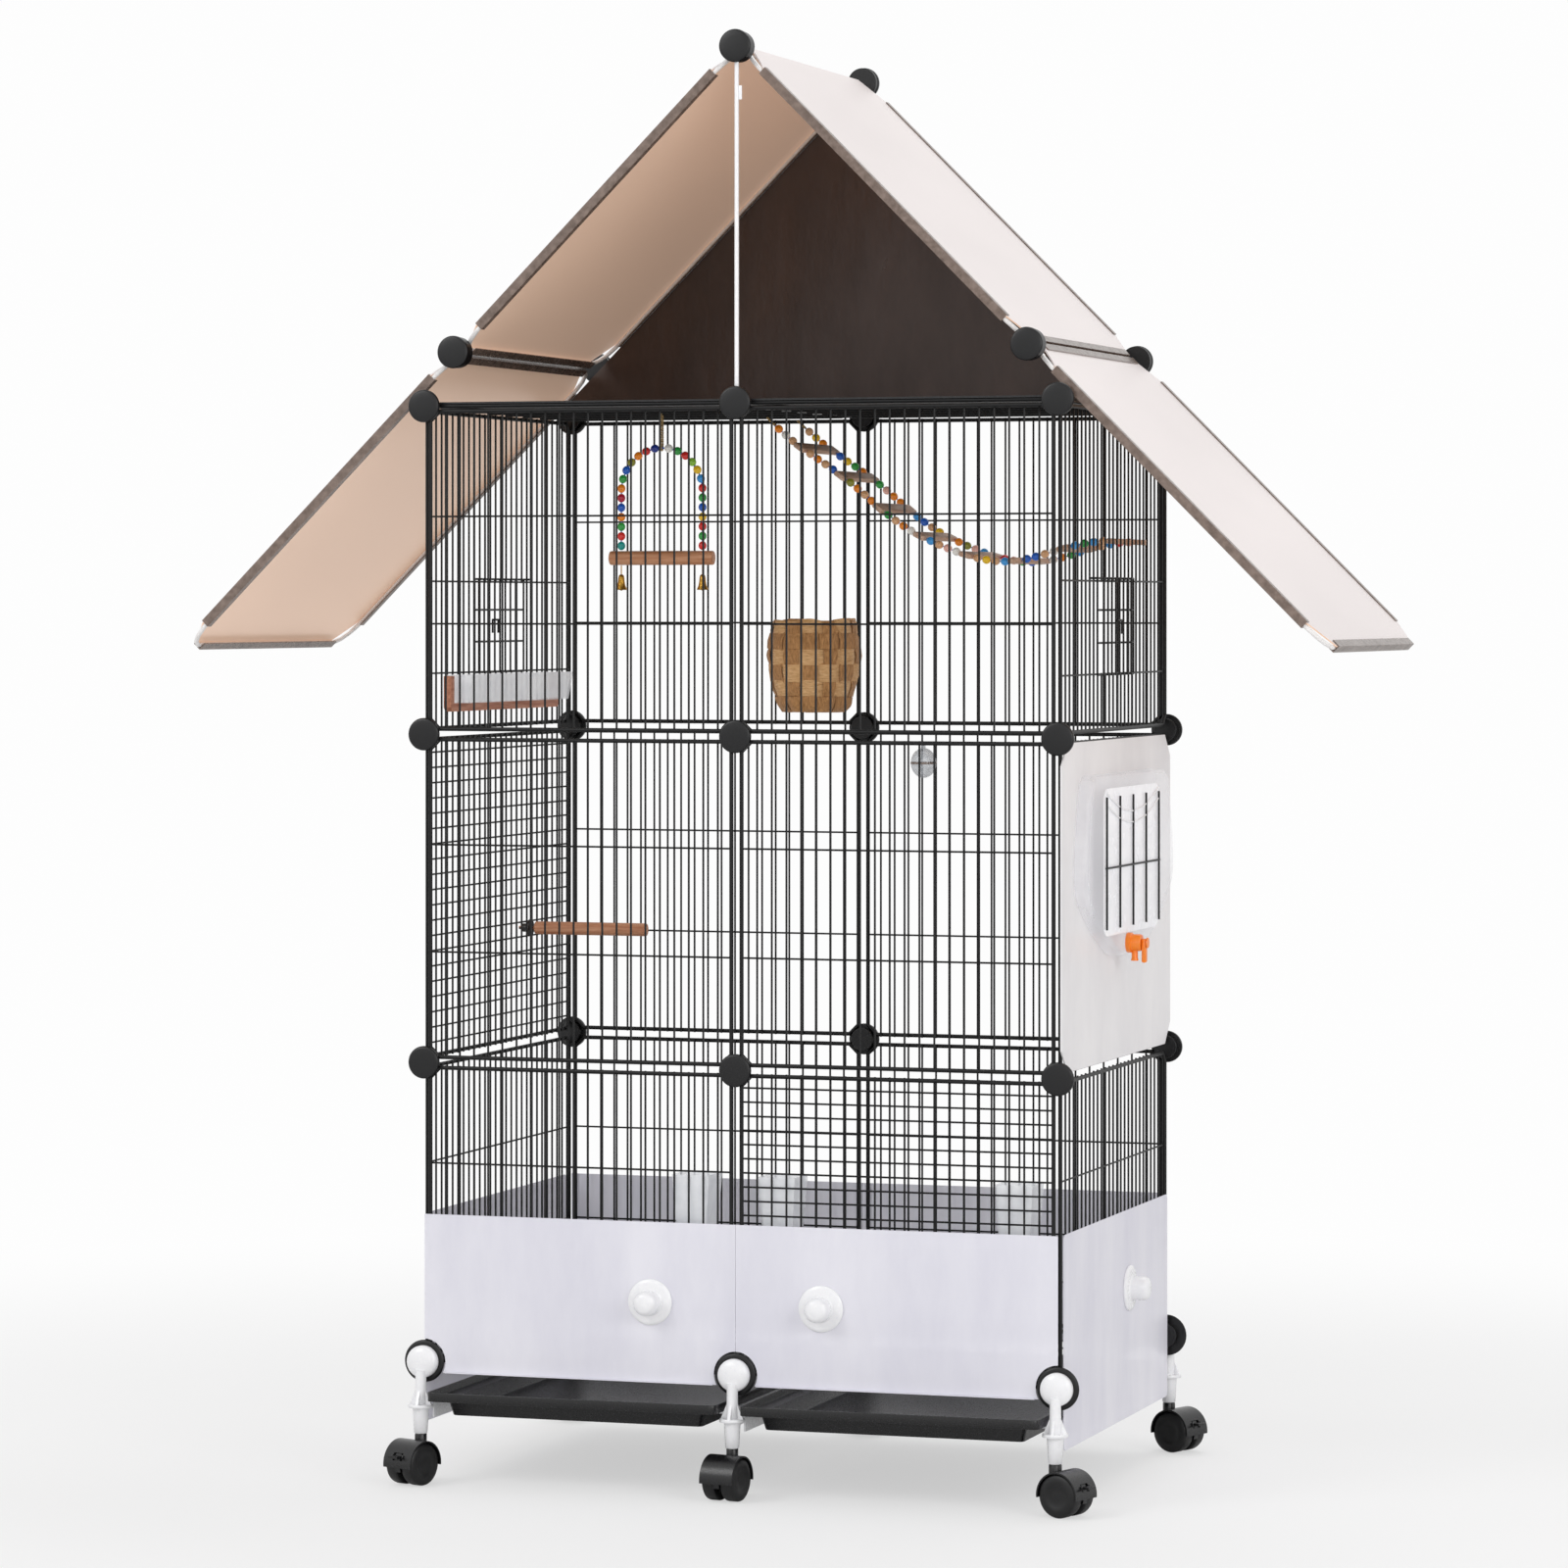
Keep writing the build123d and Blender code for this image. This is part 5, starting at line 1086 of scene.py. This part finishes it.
def nestShare(rise):
    for (a, ra), (b, rb) in zip(nest["profile"], nest["profile"][1:]):
        if rise <= b:
            return ra + (rb - ra) * (rise - a) / (b - a)
    return nest["profile"][-1][1]


def nestPoint(angle, rise, wave):
    # a place on the basket wall, pushed in and out by the weave and by the unevenness of the leaves
    rise = min(max(rise, 0.012), 0.985)
    spot = Vector((cos(angle), sin(angle), 2.4 * rise))
    uneven = noise.noise(spot * 2.3) * nest["wobble"] + noise.noise(spot * 7) * nest["wobble"] * 0.5
    radius = nestShare(rise) * nestRadius - nest["inset"] + wave * nest["wave"] + uneven - nest["wobble"]
    drop = nest["ragged"] * (0.55 + 0.8 * noise.noise(Vector((cos(angle), sin(angle), 0)) * 1.7)) * rise ** 6
    return Vector((
        nestCentre.x + radius * cos(angle), nestCentre.y + radius * sin(angle),
        low.z + rise * nestHeight - drop,
    ))


random.seed(31)
bm = bmesh.new()
columnAngle, rowRise = 2 * pi / nest["columns"], 1 / nest["rows"]
for rowIndex in range(nest["rows"]):
    middle, half = (rowIndex + 0.5) * rowRise, rowRise * nest["overlap"] * random.uniform(0.42, 0.54)
    tilt, grain = random.uniform(-0.012, 0.012), random.randrange(2)
    made = bmesh.ops.create_grid(bm, x_segments=nest["columns"] * 5, y_segments=2, size=1)
    for vert in made["verts"]:
        angle, side = (vert.co.x + 1) * pi, vert.co.y
        wave = cos(angle / columnAngle * pi + rowIndex * pi) - 0.25 * abs(side)
        vert.co = nestPoint(angle, middle + side * half + tilt * sin(angle), wave)
    tintFaces(made["verts"], grain)
for column in range(nest["columns"]):
    centre, half = column * columnAngle, columnAngle * random.uniform(0.34, 0.47)
    lean, grain, top = random.uniform(-0.06, 0.06), random.randrange(2), random.uniform(0.95, 1.0)
    made = bmesh.ops.create_grid(bm, x_segments=2, y_segments=nest["rows"] * 5, size=1)
    for vert in made["verts"]:
        side, rise = vert.co.x, (vert.co.y + 1) / 2 * top
        wave = -cos(column * pi + (rise / rowRise - 0.5) * pi) - 0.25 * abs(side)
        vert.co = nestPoint(centre + side * half + lean * (rise - 0.5), rise, wave)
    tintFaces(made["verts"], grain)
bmesh.ops.recalc_face_normals(bm, faces=bm.faces)
bmesh.ops.solidify(bm, geom=list(bm.faces), thickness=nest["leaf"])
nestPlace = Matrix.Translation((nestCentre.x, nestCentre.y, low.z))
wall = nest["potWall"]
potHeight = nestHeight * nest["potShare"]
potOutside = [
    (nestShare(k / 8) * nestRadius - nest["pot"], wall + potHeight * k / 8) for k in range(9)
]
potInside = [(radius - wall, height + wall) for radius, height in reversed(potOutside)]
lathe(bm, [(0, wall)] + potOutside + potInside + [(0, 2 * wall)], nestPlace, 28)
finishPiece(bm, "wovenNest", "cage", ["paleLeaf", "darkLeaf"], ["nest"], angle=50, weld=False)
print("nest made")

# ---- perch and treat ball

perch = {"radius": 0.0075, "length": 0.135, "y": 0.099, "screw": 0.0019}
low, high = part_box("perch")
perchZ = (low.z + high.z) / 2
startX = high.x - perch["length"]
bm = bmesh.new()
r = perch["radius"] * 0.985
lathe(bm, [
    (0, 0), (r - 0.001, 0), (r, 0.001), (r, perch["length"] - 0.0016), (r - 0.0005, perch["length"] - 0.0005),
    (r - 0.0018, perch["length"]), (0, perch["length"]),
], placeAt((startX, perch["y"], perchZ), (0, 1, 0), (1, 0, 0)), 28)
rod(bm, (low.x, perch["y"], perchZ), (startX, perch["y"], perchZ), perch["screw"], 12)
finishPiece(bm, "perchDowel", "cage", ["perchWood"], ["perch"])

ball = {"side": 0.98, "rise": 0.84, "steps": 14, "stalk": 0.0022, "rimIn": 0.985}
low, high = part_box("treat_ball")
ballRadius, tall, middle = (high.x - low.x) / 2, high.z - low.z, (high.z - low.z) / 2
ballPlace = Matrix.Translation(((low.x + high.x) / 2, (low.y + high.y) / 2, low.z))
angles = [-pi / 2 + k * pi / ball["steps"] for k in range(ball["steps"] + 1)]
curve = [(ballRadius * ball["side"] * cos(a), middle + middle * ball["rise"] * sin(a)) for a in angles]
curve[0], curve[-1] = (0, curve[0][1]), (ball["stalk"], curve[-1][1])
bm = bmesh.new()
lathe(bm, curve + [(ball["stalk"], tall - 0.0006), (0.0016, tall), (0, tall)], ballPlace, 28)
finishPiece(bm, "treatBall", "cage", ["smokyClear"], ["treat_ball"])
bm = bmesh.new()
rim = [(ball["rimIn"], -0.0012), (1, -0.0006), (1, 0.0006), (ball["rimIn"], 0.0012)]
lathe(bm, [(ballRadius * share, middle + rise) for share, rise in rim], ballPlace, 28)
finishPiece(bm, "treatBallRim", "cage", ["clipStrip"], ())
print("perch and treat ball made")

# ---- CAD nodes that show as they are

nodeFinishes = {
    "roofSheet": ("left_roof_sheet", "left_awning_sheet", "right_roof_sheet", "right_awning_sheet"),
    "boardBlack": ("shelf_boards",), "clipStrip": ("roof_clip_strips",), "gableSheetPaintedShade": ("gable_sheet",),
    "whitePlastic": ("tray_runners",), "sideSheet": ("side_sheet",), "blackPlastic": ("perch_nut",),
    "clearPlastic": ("trough", "feeder_cups"), "cradleWood": ("trough_cradle",),
}
for finish, nodeNames in nodeFinishes.items():
    for nodeName in nodeNames:
        paint(nodeName, finish)
print("nodes painted")

# ---- studio

studio = {
    "lens": 130.14, "place": (1.92756, -5.97585, 0.954), "turn": 18.06, "shift": -0.1144,
    "world": 0.58, "white": (0.985, 0.985, 0.985, 1), "lightSize": 2.6, "keySize": 2.4,
    "key": 66, "fill": 50, "top": 32, "front": 16,
    "floorRadius": 14, "floorDrop": 0.0004, "clearFrom": 0.75, "clearTo": 2.4, "nearShare": 0.55,
}
scene = bpy.context.scene
scene.view_settings.view_transform = "Standard"
camera = bpy.data.objects.new("camera", bpy.data.cameras.new("camera"))
camera.data.lens = studio["lens"]
camera.data.sensor_width = 36
camera.data.shift_y = studio["shift"]
camera.location = studio["place"]
camera.rotation_euler = (radians(90), 0, radians(studio["turn"]))
scene.collection.objects.link(camera)
scene.camera = camera

world = bpy.data.worlds.new("studioWorld")
world.use_nodes = True
scene.world = world
tree, link = world.node_tree, world.node_tree.links.new
lit = tree.nodes["Background"]
lit.inputs["Color"].default_value = (1, 1, 1, 1)
lit.inputs["Strength"].default_value = studio["world"]
seen = makeNode(tree, "ShaderNodeBackground", {"Color": studio["white"]})
rays = makeNode(tree, "ShaderNodeLightPath")
either = makeNode(tree, "ShaderNodeMath", operation="MAXIMUM")
both = makeNode(tree, "ShaderNodeMath", operation="MAXIMUM")
link(rays.outputs["Is Camera Ray"], either.inputs[0])
link(rays.outputs["Is Glossy Ray"], either.inputs[1])
link(either.outputs[0], both.inputs[0])
link(rays.outputs["Is Transmission Ray"], both.inputs[1])
mix = makeNode(tree, "ShaderNodeMixShader")
link(both.outputs[0], mix.inputs["Fac"])
link(lit.outputs[0], mix.inputs[1])
link(seen.outputs[0], mix.inputs[2])
link(mix.outputs[0], tree.nodes["World Output"].inputs["Surface"])


def softLight(name, place, target, size, power):
    lamp = bpy.data.lights.new(name, "AREA")
    lamp.shape = "DISK"
    lamp.size = size
    lamp.energy = power
    holder = bpy.data.objects.new(name, lamp)
    holder.location = place
    holder.rotation_euler = (Vector(target) - Vector(place)).to_track_quat("-Z", "Y").to_euler()
    scene.collection.objects.link(holder)


softLight("keyLight", (-2.6, -3.4, 3.4), (0, 0, 0.7), studio["keySize"], studio["key"])
softLight("fillLight", (3.6, -2.6, 1.9), (0, 0, 0.8), studio["lightSize"], studio["fill"])
softLight("frontLight", (1.3, -5.2, 1.6), (0, 0, 0.8), studio["lightSize"], studio["front"])
softLight("topLight", (0.6, 1.6, 4.2), (0, 0, 0.8), studio["lightSize"], studio["top"])

bm = bmesh.new()
bmesh.ops.create_circle(bm, cap_ends=True, segments=96, radius=studio["floorRadius"])
floorMesh = bpy.data.meshes.new("studioFloor")
bm.to_mesh(floorMesh)
bm.free()
floor = bpy.data.objects.new("studioFloor", floorMesh)
floor.location = (0, 0, -studio["floorDrop"])
scene.collection.objects.link(floor)
paper = bpy.data.materials.new("studioPaper")
paper.use_nodes = True
tree, link = paper.node_tree, paper.node_tree.links.new
matte = tree.nodes["Principled BSDF"]
matte.inputs["Base Color"].default_value = (0.86, 0.86, 0.86, 1)
matte.inputs["Roughness"].default_value = 0.9
bright = makeNode(tree, "ShaderNodeEmission", {"Color": studio["white"]})
rays = makeNode(tree, "ShaderNodeLightPath")
share = makeNode(tree, "ShaderNodeMath", operation="MULTIPLY")
blendIn = makeNode(tree, "ShaderNodeMixShader")
# the paper turns into the background away from the cage, so there is no horizon
where = makeNode(tree, "ShaderNodeTexCoord")
away = makeNode(tree, "ShaderNodeVectorMath", operation="LENGTH")
clearing = makeNode(
    tree, "ShaderNodeMapRange",
    {"From Min": studio["clearFrom"], "From Max": studio["clearTo"], "To Min": studio["nearShare"]},
    interpolation_type="SMOOTHSTEP",
)
link(where.outputs["Object"], away.inputs[0])
link(away.outputs["Value"], clearing.inputs["Value"])
link(rays.outputs["Is Camera Ray"], share.inputs[0])
link(clearing.outputs["Result"], share.inputs[1])
link(share.outputs[0], blendIn.inputs["Fac"])
link(matte.outputs[0], blendIn.inputs[1])
link(bright.outputs[0], blendIn.inputs[2])
link(blendIn.outputs[0], tree.nodes["Material Output"].inputs["Surface"])
floorMesh.materials.append(paper)
print("studio made")
